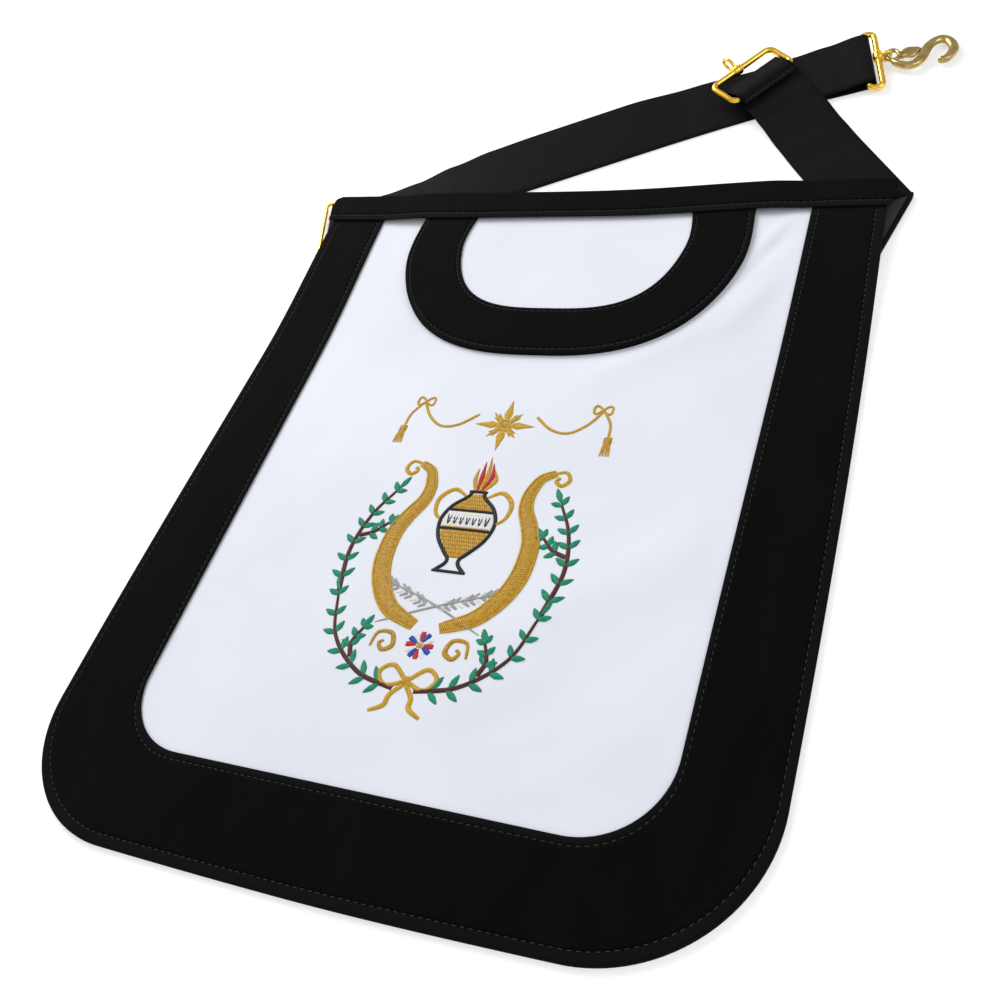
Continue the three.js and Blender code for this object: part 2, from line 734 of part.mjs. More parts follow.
// Rod of changing width along an open path, flattened to one thickness
function taperedRod(path, widths, normal, thickness, sides) {
  const positions = [];
  const indices = [];
  path.forEach((point, i) => {
    const before = path[Math.max(i - 1, 0)];
    const after = path[Math.min(i + 1, path.length - 1)];
    const tangent = after.clone().sub(before).normalize();
    const side = tangent.clone().cross(normal).normalize();
    const ease = Math.min(1, widths[i] / thickness + 0.15);
    for (let j = 0; j < sides; j += 1) {
      const angle = (2 * Math.PI * j) / sides;
      const vertex = point.clone()
        .addScaledVector(side, (widths[i] / 2) * Math.cos(angle))
        .addScaledVector(normal, (thickness / 2) * ease * Math.sin(angle));
      positions.push(vertex.x, vertex.y, vertex.z);
    }
  });
  const rings = path.length;
  for (let i = 0; i < rings - 1; i += 1) {
    for (let j = 0; j < sides; j += 1) {
      const a = i * sides + j;
      const b = i * sides + ((j + 1) % sides);
      indices.push(a, b, b + sides, a, b + sides, a + sides);
    }
  }
  for (const [ring, flip] of [[0, true], [rings - 1, false]]) {
    const start = ring * sides;
    for (let j = 1; j < sides - 1; j += 1) {
      if (flip) indices.push(start, start + j + 1, start + j);
      else indices.push(start, start + j, start + j + 1);
    }
  }
  return closedGeometry(positions, indices);
}

function toManifold(geometry) {
  const bare = new THREE.BufferGeometry();
  bare.setAttribute('position', geometry.getAttribute('position').clone());
  bare.setIndex(geometry.index);
  const merged = mergeVertices(bare, 1e-4);
  return new wasm.Manifold(new wasm.Mesh({
    numProp: 3,
    vertProperties: new Float32Array(merged.getAttribute('position').array),
    triVerts: new Uint32Array(merged.index.array),
  }));
}

function joined(geometries) {
  const [first, ...rest] = geometries.map(toManifold);
  const mesh = rest.reduce((whole, piece) => whole.add(piece), first).getMesh();
  const geometry = new THREE.BufferGeometry();
  geometry.setAttribute('position', new THREE.Float32BufferAttribute(mesh.vertProperties, 3));
  geometry.setIndex(Array.from(mesh.triVerts));
  return geometry;
}

// Collar round a ring's outer bar with a small oval eye standing out from it
function collarAndEye(frame, share, riseDegrees, eyeLength) {
  const usable = ringLength - ringWire;
  const centre = frame.bar.clone()
    .addScaledVector(frame.out, frame.pitch)
    .addScaledVector(frame.along, (share - 0.5) * usable);
  const outerRadius = ringWire / 2 + collarWall;
  const innerRadius = ringWire / 2 - 0.4;
  const profile = [
    new THREE.Vector2(innerRadius, -collarLength / 2),
    new THREE.Vector2(outerRadius - 0.5, -collarLength / 2),
    new THREE.Vector2(outerRadius, -collarLength / 4),
    new THREE.Vector2(outerRadius, collarLength / 4),
    new THREE.Vector2(outerRadius - 0.5, collarLength / 2),
    new THREE.Vector2(innerRadius, collarLength / 2),
    new THREE.Vector2(innerRadius, -collarLength / 2),
  ];
  const collar = new THREE.LatheGeometry(profile, 12);
  const turn = new THREE.Quaternion().setFromUnitVectors(new THREE.Vector3(0, 1, 0), frame.along);
  collar.applyQuaternion(turn);
  collar.translate(centre.x, centre.y, centre.z);
  const angle = THREE.MathUtils.degToRad(riseDegrees);
  const outWay = frame.out.clone().multiplyScalar(Math.cos(angle)).addScaledVector(frame.normal, Math.sin(angle));
  const acrossWay = outWay.clone().cross(frame.along).normalize();
  const eyeCentre = centre.clone().addScaledVector(outWay, outerRadius + eyeLength / 2 - eyeWire * 0.9);
  const eyePath = ovalPath(eyeCentre, outWay, acrossWay, eyeLength - eyeWire, eyeWidth - eyeWire, 14);
  const eye = closedWire(eyePath, frame.along, eyeWire / 2, 6);
  return { collar, eye, eyeCentre, outWay, acrossWay };
}

function endRing(frame, cornerRadius, share, riseDegrees, eyeLength) {
  const wire = wireLoop(frame, ringWire, ringLength, frame.pitch, cornerRadius);
  const { collar, eye } = collarAndEye(frame, share, riseDegrees, eyeLength);
  return joined([wire, collar, eye]);
}

// Hook: an S of brass with a leaf-shaped head, its eye linked through the ring's small eye
const hookCurve = [
  { out: 0.7, side: -0.25, width: 0.55 },
  { out: 0.735, side: -0.262, width: 0.75 },
  { out: 0.8, side: -0.235, width: 0.86 },
  { out: 0.875, side: -0.13, width: 0.95 },
  { out: 0.925, side: 0.0, width: 1.05 },
  { out: 0.915, side: 0.13, width: 1.05 },
  { out: 0.86, side: 0.255, width: 1.0 },
  { out: 0.76, side: 0.31, width: 1.0 },
  { out: 0.65, side: 0.265, width: 1.0 },
  { out: 0.56, side: 0.16, width: 1.05 },
  { out: 0.505, side: 0.04, width: 1.1 },
  { out: 0.46, side: -0.09, width: 1.1 },
  { out: 0.395, side: -0.215, width: 1.05 },
  { out: 0.32, side: -0.3, width: 0.95 },
  { out: 0.22, side: -0.325, width: 0.85 },
  { out: 0.11, side: -0.275, width: 0.7 },
  { out: 0.02, side: -0.205, width: 0.55 },
  { out: 0.0, side: -0.14, width: 0.45 },
];
const headCurve = [
  { out: 0.09, side: -0.035, width: 0.6 },
  { out: 0.13, side: -0.02, width: 1.15 },
  { out: 0.17, side: -0.005, width: 1.05 },
  { out: 0.21, side: 0.015, width: 1.6 },
  { out: 0.27, side: 0.035, width: 1.85 },
  { out: 0.34, side: 0.06, width: 1.35 },
  { out: 0.42, side: 0.085, width: 0.35 },
];
const hookLength = 34;
const hookHeading = 8;
const hookBodyWidth = 5.2;
const hookDip = 3;

function hookFrame() {
  const { eyeCentre } = collarAndEye(hookRingFrame, hookEyeShare, -hookEyeDroop, hookLinkLength);
  const out = unitHeading(hookHeading);
  const side = up.clone().cross(out).normalize();
  out.applyAxisAngle(side, THREE.MathUtils.degToRad(hookDip));
  const normal = out.clone().cross(side).normalize();
  const centre = eyeCentre.clone().addScaledVector(hookRingFrame.out, (hookEyeWidth - hookEyeWire) / 2);
  return { centre, out, side, normal };
}

function hookGeometry() {
  const frame = hookFrame();
  const pathOf = (table, steps) => {
    const curve = new THREE.CatmullRomCurve3(table.map((row) => frame.centre.clone()
      .addScaledVector(frame.out, row.out * hookLength)
      .addScaledVector(frame.side, row.side * hookLength)));
    const indexed = table.map((row, index) => ({ ...row, index: index / (table.length - 1) }));
    const path = shares(steps).map((s) => curve.getPoint(s));
    const widths = shares(steps).map((s) => lookUp(indexed, 'index', 'width', s) * hookBodyWidth);
    return { path, widths };
  };
  const body = pathOf(hookCurve, 34);
  const head = pathOf(headCurve, 10);
  const eyePath = ovalPath(frame.centre, frame.side, frame.out, hookEyeLength - hookEyeWire,
    hookEyeWidth - hookEyeWire, 16);
  return joined([
    taperedRod(body.path, body.widths, frame.normal, hookThickness, 8),
    taperedRod(head.path, head.widths, frame.normal, hookThickness * 0.9, 8),
    closedWire(eyePath, frame.normal, hookEyeWire / 2, 6),
  ]);
}

function piece(name, geometry, material) {
  const mesh = new THREE.Mesh(geometry, material);
  mesh.name = name;
  return mesh;
}

const loopFrame = ringFrame(loopBar, loopOut, loopHalf, sideLoopPitch);

const apron = new THREE.Group();
apron.add(
  piece('panel', panelGeometry(), whiteMaterial),
  piece('border', borderGeometry(), velvetMaterial),
  piece('flap', flapGeometry(), whiteMaterial),
  piece('flap_border', flapBorderGeometry(), velvetMaterial),
  piece('top_band', bandGeometry(), velvetMaterial),
  piece('left_strap', strapGeometry(leftStrapStations, strapThickness), webbingMaterial),
  piece('right_strap', strapGeometry(rightStrapStations, strapThickness), webbingMaterial),
  piece('side_loop', wireLoop(loopFrame, sideLoopWire, sideLoopLength, sideLoopPitch, sideLoopCorner),
    goldMaterial),
  piece('hook_ring', endRing(hookRingFrame, hookRingCornerRadius, hookEyeShare, -hookEyeDroop, hookLinkLength), goldMaterial),
  piece('keeper_ring', endRing(keeperFrame, keeperCornerRadius, keeperEyeShare, -keeperEyeRise, keeperEyeLength), goldMaterial),
  piece('snake_hook', hookGeometry(), brassMaterial),
);

export default apron;
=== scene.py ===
# %% [markdown]
# # A lodge apron laid flat, dressed in Blender
# The object is a waist apron on its back: a white panel and flap, wide black velvet borders, a band
# along the waist, a webbing strap and its brass hardware. The solids come from the packed frame. Every
# cloth piece is made again here with a finer surface, in the same place and to the same sizes.

# %% Frame, and the sizes it carries
import math

import bpy
import numpy as np
from mathutils import Matrix, Vector


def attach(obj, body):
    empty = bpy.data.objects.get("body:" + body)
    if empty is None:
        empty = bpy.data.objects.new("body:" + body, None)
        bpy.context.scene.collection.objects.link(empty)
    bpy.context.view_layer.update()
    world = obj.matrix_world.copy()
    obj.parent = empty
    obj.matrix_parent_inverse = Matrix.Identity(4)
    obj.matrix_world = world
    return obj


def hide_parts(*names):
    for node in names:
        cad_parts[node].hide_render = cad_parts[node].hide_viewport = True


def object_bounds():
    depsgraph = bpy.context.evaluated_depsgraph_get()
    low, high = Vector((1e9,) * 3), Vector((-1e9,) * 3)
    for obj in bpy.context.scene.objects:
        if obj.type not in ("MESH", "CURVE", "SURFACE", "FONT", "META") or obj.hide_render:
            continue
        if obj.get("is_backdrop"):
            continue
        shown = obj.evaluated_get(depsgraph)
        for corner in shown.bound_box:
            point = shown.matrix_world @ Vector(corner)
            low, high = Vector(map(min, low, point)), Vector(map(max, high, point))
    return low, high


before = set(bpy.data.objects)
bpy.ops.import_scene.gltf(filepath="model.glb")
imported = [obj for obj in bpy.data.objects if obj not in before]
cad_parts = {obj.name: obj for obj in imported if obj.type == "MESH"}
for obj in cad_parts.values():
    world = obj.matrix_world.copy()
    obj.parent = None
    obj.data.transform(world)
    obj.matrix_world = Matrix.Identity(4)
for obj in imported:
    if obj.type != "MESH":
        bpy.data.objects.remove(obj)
cad_low, cad_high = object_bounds()
MM = 0.001
print("box of the solids, mm:", [round(v / MM, 1) for v in (*cad_low, *cad_high)])

# %% [markdown]
# ## The sizes of the cloth
# The same named sizes shape the solids. Lengths are in millimetres here and are turned to metres when
# a mesh is written, so the numbers stay readable.

# %% Named sizes
panel_width, panel_height = 323.5, 397.0
corner_radii = {"left": 56.0, "right": 66.0}
side_border, bottom_border = 40.5, 45.2
inner_radii = {"left": 32.0, "right": 37.0}
bottom_bow, bottom_rise, rise_start = 2.5, 2.5, -20.0
side_taper, top_skew, side_shift, right_bow = 5.25, 3.5, 0.9, 1.8
left_sag, middle_sag, middle_sag_at, middle_sag_reach = 3.0, 3.0, -50.0, 135.0
flap_width, flap_depth, flap_inner_width, flap_inner_depth = 196.0, 119.0, 129.0, 88.0
flap_round, flap_inner_round, flap_pinch, flap_offset = 2.7, 3.2, 6.0, 0.0
cloth, velvet_depth, gap = 1.0, 1.2, 0.3
band_height, band_back, band_thick, band_over, band_round, band_slope = 19.5, 10.0, 0.8, 2.2, 4.0, 3.0
strap_width, strap_thick = 38.0, 0.9
middle_lift, left_lift, right_lift = 1.6, 4.1, 2.8
left_start, left_span, right_start, right_span = 0.1, 0.42, 0.1, 0.36
lift_length, lift_plateau = 118.0, 8.0
half_width, top_y, bottom_y = panel_width / 2, panel_height / 2, -panel_height / 2
panel_top = cloth
border_base = cloth + gap
flap_base = cloth + gap
flap_border_base = flap_base + cloth + gap


# %% [markdown]
# ## Where the cloth lies
# The panel is flat on the table but its top edge rides on the folded straps. One height function,
# `lift`, says how high the underside is at any place, and every layer adds its own thickness to it, so
# layers can't cut into one another.

# %% Height and settling of the cloth
def ease(t):
    t = np.clip(t, 0.0, 1.0)
    return t * t * (3 - 2 * t)


def lift(x, y):
    across = np.asarray(x) / panel_width
    left = left_lift * ease((left_start - across) / left_span)
    right = right_lift * ease((across - right_start) / right_span)
    rise = ease((np.asarray(y) - (top_y - lift_plateau - lift_length)) / lift_length)
    return (middle_lift + left + right) * rise


def settle_share(y):
    lowest = bottom_y + corner_radii["left"]
    return ease((y - lowest) / (top_y - lowest))


def settled(x, y):
    hump = max(0.0, 1 - ((x - middle_sag_at) / middle_sag_reach) ** 2) ** 2
    sag = left_sag * ease(-x / (half_width - side_taper)) + middle_sag * hump
    held = ease((y - (top_y - lift_length)) / lift_length)
    return x + side_shift + (top_skew - side_shift) * settle_share(y), y - sag * held


def border_edge(share, half, radii, low_y, bow, rise, taper, side_bow=0.0):
    side = -1 if share < 0.5 else 1
    radius = radii["left"] if side < 0 else radii["right"]
    straight = top_y - low_y - radius
    arc = math.pi / 2 * radius
    total = 2 * (straight + arc + half - radius)
    along = (share if share < 0.5 else 1 - share) * total

    def lowered(x):
        return bow * (1 - (x / half) ** 2) - rise * float(ease((x - rise_start) / (half - rise_start)))
    if along <= straight:
        y = top_y - along * (1 - (rise / straight if side > 0 else 0))
        bowed = side_bow * math.sin(math.pi * along / straight) if side > 0 else 0.0
        return side * (half - taper * float(settle_share(y))) + bowed, y
    if along <= straight + arc:
        angle = (along - straight) / radius
        x = side * (half - radius + radius * math.cos(angle))
        y = low_y + radius - radius * math.sin(angle)
        part = 1 if side > 0 else math.sin(angle)
        return x - side * taper * float(settle_share(y)), y - lowered(x) * part
    x = side * (half - radius - (along - straight - arc))
    return x, low_y - lowered(x)


def outer_edge(share):
    return border_edge(share, half_width, corner_radii, bottom_y + bottom_bow, bottom_bow, bottom_rise,
                       side_taper, right_bow)


def inner_edge(share):
    return border_edge(share, half_width - side_border, inner_radii, bottom_y + bottom_border, 0, 0, 0)


def tongue(share, half, depth, roundness):
    c, s = math.cos(math.pi * (1 - share)), math.sin(math.pi * (1 - share))
    down = abs(s) ** (2 / roundness)
    held = half - flap_pinch * (1 - float(ease(2 * down)))
    return flap_offset + held * math.copysign(abs(c) ** (2 / roundness), c), top_y - depth * down


print("lift at the top left, middle and right:", [round(float(lift(x, top_y)), 2) for x in (-150, 0, 150)])


# %% [markdown]
# ## A sheet from a grid
# Each cloth piece starts as a grid primitive and its vertices are moved to their place on the drape.
# The grid keeps a second map, in millimetres along and across the piece, so a weave, a hem or a row of
# stitches follows the cloth round its corners. A solidify modifier then gives the cloth its thickness.

# %% Helpers for grids and finished pieces
def nothing_selected():
    if bpy.context.object and bpy.context.object.mode != "OBJECT":
        bpy.ops.object.mode_set(mode="OBJECT")
    bpy.ops.object.select_all(action="DESELECT")


def pick(piece):
    nothing_selected()
    bpy.context.view_layer.objects.active = piece
    piece.select_set(True)


def grid_piece(name, place, us, vs, texture):
    """A grid whose corner (i, j) goes to place(us[i], vs[j]) in mm, with a map in mm."""
    nothing_selected()
    bpy.ops.mesh.primitive_grid_add(x_subdivisions=len(us) - 1, y_subdivisions=len(vs) - 1, size=2)
    piece = bpy.context.object
    piece.name = piece.data.name = name
    flat = np.empty(len(piece.data.vertices) * 3)
    piece.data.vertices.foreach_get("co", flat)
    flat = flat.reshape(-1, 3)
    i = np.rint((flat[:, 0] + 1) / 2 * (len(us) - 1)).astype(int)
    j = np.rint((flat[:, 1] + 1) / 2 * (len(vs) - 1)).astype(int)
    points = np.empty((len(us), len(vs), 3))
    maps = np.empty((len(us), len(vs), 2))
    for a, u in enumerate(us):
        for b, v in enumerate(vs):
            points[a, b] = place(u, v)
            maps[a, b] = texture(u, v)
    piece.data.vertices.foreach_set("co", (points[i, j] * MM).ravel())
    loops = np.empty(len(piece.data.loops), dtype=np.int32)
    piece.data.loops.foreach_get("vertex_index", loops)
    piece.data.uv_layers[0].data.foreach_set("uv", maps[i[loops], j[loops]].ravel())
    piece.data.update()
    return piece


def facing(piece, up=True):
    """Turns the faces so that the sheet's visible side points up or down."""
    normals = np.empty(len(piece.data.polygons) * 3)
    piece.data.polygons.foreach_get("normal", normals)
    if (normals.reshape(-1, 3)[:, 2].sum() > 0) != up:
        piece.data.flip_normals()


def thicken(piece, depth, rounded=0.25, offset=-1, sharp=50):
    """Gives the sheet its thickness below its face, or about it, with slightly rounded rims."""
    pick(piece)
    wall = piece.modifiers.new("thickness", "SOLIDIFY")
    wall.thickness = depth * MM
    wall.offset = offset
    bpy.ops.object.modifier_apply(modifier=wall.name)
    rim = piece.modifiers.new("rim", "BEVEL")
    rim.width = rounded * MM
    rim.segments = 2
    rim.limit_method = "ANGLE"
    rim.angle_limit = math.radians(sharp)
    bpy.ops.object.modifier_apply(modifier=rim.name)
    bpy.ops.object.shade_smooth_by_angle(angle=math.radians(60))
    print(piece.name, "has", len(piece.data.polygons), "faces")


def finish_piece(piece, material, slot, body, *nodes):
    piece.data.materials.clear()
    piece.data.materials.append(material)
    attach(piece, body)
    if nodes:
        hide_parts(*nodes)


def spread(count, low=0.0, high=1.0):
    return list(np.linspace(low, high, count + 1))


print("a spread of four steps:", [float(v) for v in spread(4)])


# %% [markdown]
# ## Finishes
# Cloth is never one flat colour. The white cloth is a close plain weave, the velvet a short pile that
# catches light at a grazing angle, and the webbing a row of fine ribs. All patterns are procedural and
# read either the piece's own map, in millimetres, or its object coordinates.

# %% Helpers for node materials
class Finish:
    """A principled material with short calls for the nodes that feed it."""

    def __init__(self, name):
        self.material = bpy.data.materials.new(name)
        self.material.use_nodes = True
        self.tree = self.material.node_tree
        self.shader = self.tree.nodes["Principled BSDF"]

    def node(self, kind, settings=None, **inputs):
        node = self.tree.nodes.new(kind)
        for key, value in (settings or {}).items():
            setattr(node, key, value)
        for key, value in inputs.items():
            numbered = key[0] == "_" and key[1:].isdigit()
            socket = node.inputs[int(key[1:]) if numbered else key.replace("_", " ")]
            if isinstance(value, bpy.types.NodeSocket):
                self.tree.links.new(value, socket)
            else:
                socket.default_value = value
        return node

    def fixed(self, **values):
        for key, value in values.items():
            self.shader.inputs[key.replace("_", " ")].default_value = value

    def feed(self, name, socket):
        self.tree.links.new(socket, self.shader.inputs[name])

    def math(self, operation, first, second=0.0, third=0.0):
        return self.node("ShaderNodeMath", {"operation": operation}, _0=first, _1=second, _2=third).outputs[0]

    def mix(self, share, low, high):
        return self.node("ShaderNodeMix", {"data_type": "RGBA"}, _0=share, _6=low, _7=high).outputs[2]

    def ramp(self, value, low, high, to_low=0.0, to_high=1.0):
        node = self.node("ShaderNodeMapRange", {"interpolation_type": "SMOOTHSTEP"}, _0=value)
        for index, number in zip((1, 2, 3, 4), (low, high, to_low, to_high)):
            node.inputs[index].default_value = number
        return node.outputs[0]

    def noise(self, where, scale, detail=2.0, rough=0.5):
        node = self.node("ShaderNodeTexNoise", Vector=where, Scale=scale, Detail=detail, Roughness=rough)
        return node.outputs[0]

    def bump(self, height, strength, distance):
        node = self.node("ShaderNodeBump", Strength=strength, Distance=distance, Height=height)
        self.tree.links.new(node.outputs[0], self.shader.inputs["Normal"])

    def object_place(self):
        return self.node("ShaderNodeTexCoord").outputs["Object"]

    def map_place(self):
        return self.node("ShaderNodeTexCoord").outputs["UV"]

    def parts(self, vector):
        return self.node("ShaderNodeSeparateXYZ", _0=vector).outputs


def waves(finish, value, pitch):
    """A wave between 0 and 1 that repeats every pitch."""
    turned = finish.math("MULTIPLY", value, 2 * math.pi / pitch)
    return finish.math("MULTIPLY_ADD", finish.math("SINE", turned), 0.5, 0.5)


def window(finish, value, low, high, soft=0.4):
    """1 between low and high, 0 outside, with soft sides of this half width."""
    rise = finish.ramp(value, low - soft, low + soft)
    return finish.math("MULTIPLY", rise, finish.ramp(value, high - soft, high + soft, 1.0, 0.0))


print("helpers:", [key for key in vars(Finish) if key[0] != "_"])

# %% [markdown]
# ### White cloth
# A close plain weave about half a millimetre across. Its colour is a cool white with faint cloudy
# variation, and the weave shows only as a very low relief, as it does on satin-finished cotton.

# %% White cloth
weave_pitch = 0.55


def white_cloth():
    f = Finish("white_cloth")
    place = f.object_place()
    x, y = f.parts(place)[:2]
    weave = f.math("MULTIPLY", waves(f, x, weave_pitch * MM), waves(f, y, weave_pitch * MM))
    clouds = f.noise(place, 14.0, 3.0)
    threads = f.noise(place, 900.0, 2.0)
    tint = f.mix(f.ramp(clouds, 0.35, 0.65), (0.672, 0.697, 0.768, 1), (0.702, 0.724, 0.792, 1))
    shade = f.mix(f.math("MULTIPLY", weave, 0.10), tint, (0.59, 0.61, 0.68, 1))
    f.feed("Base Color", shade)
    f.fixed(Sheen_Weight=0.08, Sheen_Roughness=0.5, Specular_IOR_Level=0.25)
    f.feed("Roughness", f.ramp(threads, 0.2, 0.8, 0.58, 0.74))
    f.bump(f.math("MULTIPLY_ADD", threads, 0.5, weave), 0.16, 0.00012)
    return f.material


white = white_cloth()
print(white.name, "with a weave of", weave_pitch, "mm")

# %% [markdown]
# ### Velvet
# Black pile reflects almost nothing face on and a soft sheen from the side. The hems, where the pile is
# turned and pressed flat, read a shade lighter. The piece's map gives the distance from each edge, so
# the hem's tone and its pressed groove are drawn at the right place all the way round.

# %% Velvet
def velvet(name, hems, groove):
    """hems lists (from, to) in mm across the piece; groove lists the stitched lines."""
    f = Finish(name)
    place = f.object_place()
    across = f.parts(f.map_place())[1]
    pile = f.noise(place, 2600.0, 2.0, 0.6)
    drawn_out = f.node("ShaderNodeMapping", Vector=place, Scale=(1.0, 0.35, 1.0)).outputs[0]
    brushed = f.noise(drawn_out, 60.0, 4.0, 0.6)
    crushed = f.ramp(brushed, 0.4, 0.72)
    base = f.mix(f.math("MULTIPLY", crushed, 0.5), (0.0018, 0.0018, 0.0019, 1), (0.0034, 0.0034, 0.0035, 1))
    hem_share = 0.0
    for low, high in hems:
        hem_share = f.math("ADD", window(f, across, low, high), hem_share)
    f.feed("Base Color", f.mix(f.math("MULTIPLY", hem_share, 0.8), base, (0.0046, 0.0050, 0.0046, 1)))
    f.fixed(Sheen_Weight=0.022, Sheen_Roughness=0.42, Sheen_Tint=(0.55, 0.56, 0.58, 1))
    f.fixed(Specular_IOR_Level=0.05)
    f.feed("Roughness", f.ramp(pile, 0.3, 0.7, 0.86, 0.98))
    height = f.math("MULTIPLY_ADD", brushed, 1.6, pile)
    for line in groove:
        gone = f.math("ABSOLUTE", f.math("SUBTRACT", across, line))
        height = f.math("MULTIPLY_ADD", f.ramp(gone, 0.0, 1.1), 2.2, height)
    f.bump(height, 0.55, 0.00028)
    print(name, "has", len(hems), "hems")
    return f.material


border_velvet = velvet("border_velvet", [(-2.0, 4.35), (996.7, 1002.0)], [4.7, 996.4])
flap_velvet = velvet("flap_velvet", [(-2.0, 2.2), (998.0, 1002.0)], [2.6, 997.6])
band_velvet = velvet("band_velvet", [(-2.0, 4.0)], [4.1])

# %% [markdown]
# ### Webbing
# The strap is woven in fine cross ribs with a smooth selvedge down each side. Along the strap the map's
# first number counts millimetres, so the ribs turn with every fold.

# %% Webbing
def webbing(name, lit=None):
    """lit is the stretch, in mm along the strap, painted lighter: a painted highlight where the ribs catch
    the light.
    """
    f = Finish(name)
    along, across = f.parts(f.map_place())[:2]
    ribs = waves(f, along, 0.95)
    warp = waves(f, across, 0.8)
    threads = f.noise(f.map_place(), 3.0, 3.0)
    off_centre = f.math("ABSOLUTE", f.math("SUBTRACT", across, strap_width / 2))
    selvedge = f.ramp(off_centre, strap_width / 2 - 2.2, strap_width / 2 - 1.4)
    inner = f.math("MULTIPLY_ADD", selvedge, -0.55, 1.0)
    weave = f.math("MULTIPLY", f.math("MULTIPLY_ADD", warp, 0.5, ribs), inner)
    colour = f.mix(f.math("MULTIPLY", weave, 0.5), (0.0016, 0.0016, 0.0017, 1), (0.0052, 0.0052, 0.0054, 1))
    worn = f.mix(f.math("MULTIPLY", f.ramp(threads, 0.55, 0.8), 0.35), colour, (0.0078, 0.0078, 0.0080, 1))
    # Over the lit stretch the base colour is painted lighter, a painted highlight where the folded strap's
    # ribs face the light, and from here worn holds that painted highlight as well as wear.
    if lit:
        lit_end = f.ramp(along, lit[1] - 1, lit[1], 1.0, 0.0)
        there = f.math("MULTIPLY", f.ramp(along, lit[0], lit[0] + 3), lit_end)
        middle = window(f, across, 2.25, strap_width - 2.25, 0.75)
        bright = f.math("MULTIPLY", f.math("MULTIPLY", there, middle), f.math("MULTIPLY", weave, 0.55))
        worn = f.mix(bright, worn, (0.11, 0.11, 0.113, 1))
    f.feed("Base Color", worn)
    f.fixed(Sheen_Weight=0.012, Sheen_Roughness=0.35, Specular_IOR_Level=0.07)
    f.feed("Roughness", f.ramp(weave, 0.2, 1.2, 0.78, 0.58))
    f.bump(weave, 0.6, 0.00022)
    return f.material


strap_cloth = webbing("webbing")
# This copy of the webbing has a painted highlight: lighter base colour from 46 to 61 mm along the folded
# strap.
folded_cloth_painted_highlight = webbing("folded_webbing_painted_highlight", (46.0, 61.0))
print("straps:", strap_cloth.name, "and", folded_cloth_painted_highlight.name)

# %% [markdown]
# ### Metals
# The rings are polished gold-coloured plate over wire and the hook is a cast brass with a duller skin.
# Both get fine casting marks and a little tarnish in their roughness, so they don't look like plastic.

# %% Metals
def metal(name, bright, dull, smooth_low, smooth_high, relief):
    f = Finish(name)
    place = f.object_place()
    tarnish = f.noise(place, 160.0, 4.0, 0.6)
    grain = f.noise(place, 1800.0, 2.0)
    f.feed("Base Color", f.mix(f.ramp(tarnish, 0.38, 0.68), bright, dull))
    f.fixed(Metallic=1.0)
    f.feed("Roughness", f.ramp(tarnish, 0.3, 0.75, smooth_low, smooth_high))
    f.bump(f.math("MULTIPLY_ADD", grain, 0.4, tarnish), relief, 0.00015)
    return f.material


gilt = metal("gilt_wire", (1.0, 0.67, 0.11, 1), (0.86, 0.51, 0.06, 1), 0.20, 0.32, 0.10)
brass = metal("hook_brass", (0.58, 0.43, 0.165, 1), (0.38, 0.275, 0.10, 1), 0.22, 0.38, 0.25)
print("metals:", gilt.name, "and", brass.name)

# %% [markdown]
# ## The white panel
# On the real apron this is a plain rectangle of cloth with round lower corners. A grid whose rows run
# from side to side keeps the weave straight. A few broad, shallow creases are listed and moved into it,
# because a simulation would give a livelier cloth than the pressed one in the picture.

# %% Panel
creases = [  # start and end of each crease, half width and height, mm
    ((70, 112), (118, 176), 3.4, 0.9), ((78, 112), (121, 166), 3.6, -0.6),
    ((92, 96), (120, 136), 7.0, 0.5), ((40, 66), (108, 126), 12.0, 0.6),
    ((20, -88), (112, -20), 14.0, 0.7), ((40, -118), (112, -62), 12.0, -0.5),
    ((-4, -128), (100, -72), 12.0, 0.35), ((-108, 60), (-66, 118), 16.0, 0.30),
    ((-104, -60), (-70, 40), 20.0, 0.22), ((60, -150), (112, -104), 10.0, 0.35)]
rim_tuck, crease_depth, last_row = 1.1, 1.7, 0.475


def creased(x, y):
    """Height that the panel's creases add, fading out under the border and the flap."""
    total = 0.0
    for (ax, ay), (bx, by), half, height in creases:
        length = math.hypot(bx - ax, by - ay)
        ux, uy = (bx - ax) / length, (by - ay) / length
        along = ((x - ax) * ux + (y - ay) * uy) / length
        across = (-(x - ax) * uy + (y - ay) * ux) / half
        ends = float(ease(along * 3 + 0.6)) * float(ease((1 - along) * 3 + 0.6))
        total += height * math.exp(-across * across) * ends
    total += 0.10 * math.sin(x * 0.043 + y * 0.021) * math.sin(y * 0.033 - x * 0.017)
    inside = float(ease((half_width - side_border - 3 - abs(x - top_skew * float(settle_share(y)))) / 16))
    inside *= float(ease((y - bottom_y - bottom_border - 3) / 16))
    down = max(top_y - y, 0.0) / (flap_depth + 2)
    reach = (abs(x - top_skew - flap_offset) / (flap_width / 2 + 2)) ** 2.4 + down ** 2.4
    return total * crease_depth * inside * float(ease((reach - 1.0) / 0.2))


def panel_place(u, share):
    (lx, ly), (rx, ry) = outer_edge(share), outer_edge(1 - share)
    lx, rx, ly, ry = lx + rim_tuck, rx - rim_tuck, ly + rim_tuck * share * 2, ry + rim_tuck * share * 2
    lowest = outer_edge(0.5)[1] + rim_tuck
    bow = (lowest - (ly + ry) / 2) * (1 - (2 * u - 1) ** 2) if share == last_row else 0.0
    x, y = settled(lx + (rx - lx) * u, ly + (ry - ly) * u + bow)
    return x, y, float(lift(x, y)) + panel_top + creased(x, y)


panel_rows = [last_row, *spread(44, 0.455, 0.30), *spread(110, 0.297, 0.0)]
panel = grid_piece("white_panel", panel_place, spread(110), panel_rows, lambda u, v: (u * 322, v * 1300))
facing(panel)
thicken(panel, cloth)
finish_piece(panel, white, "white_cloth", "apron", "panel")


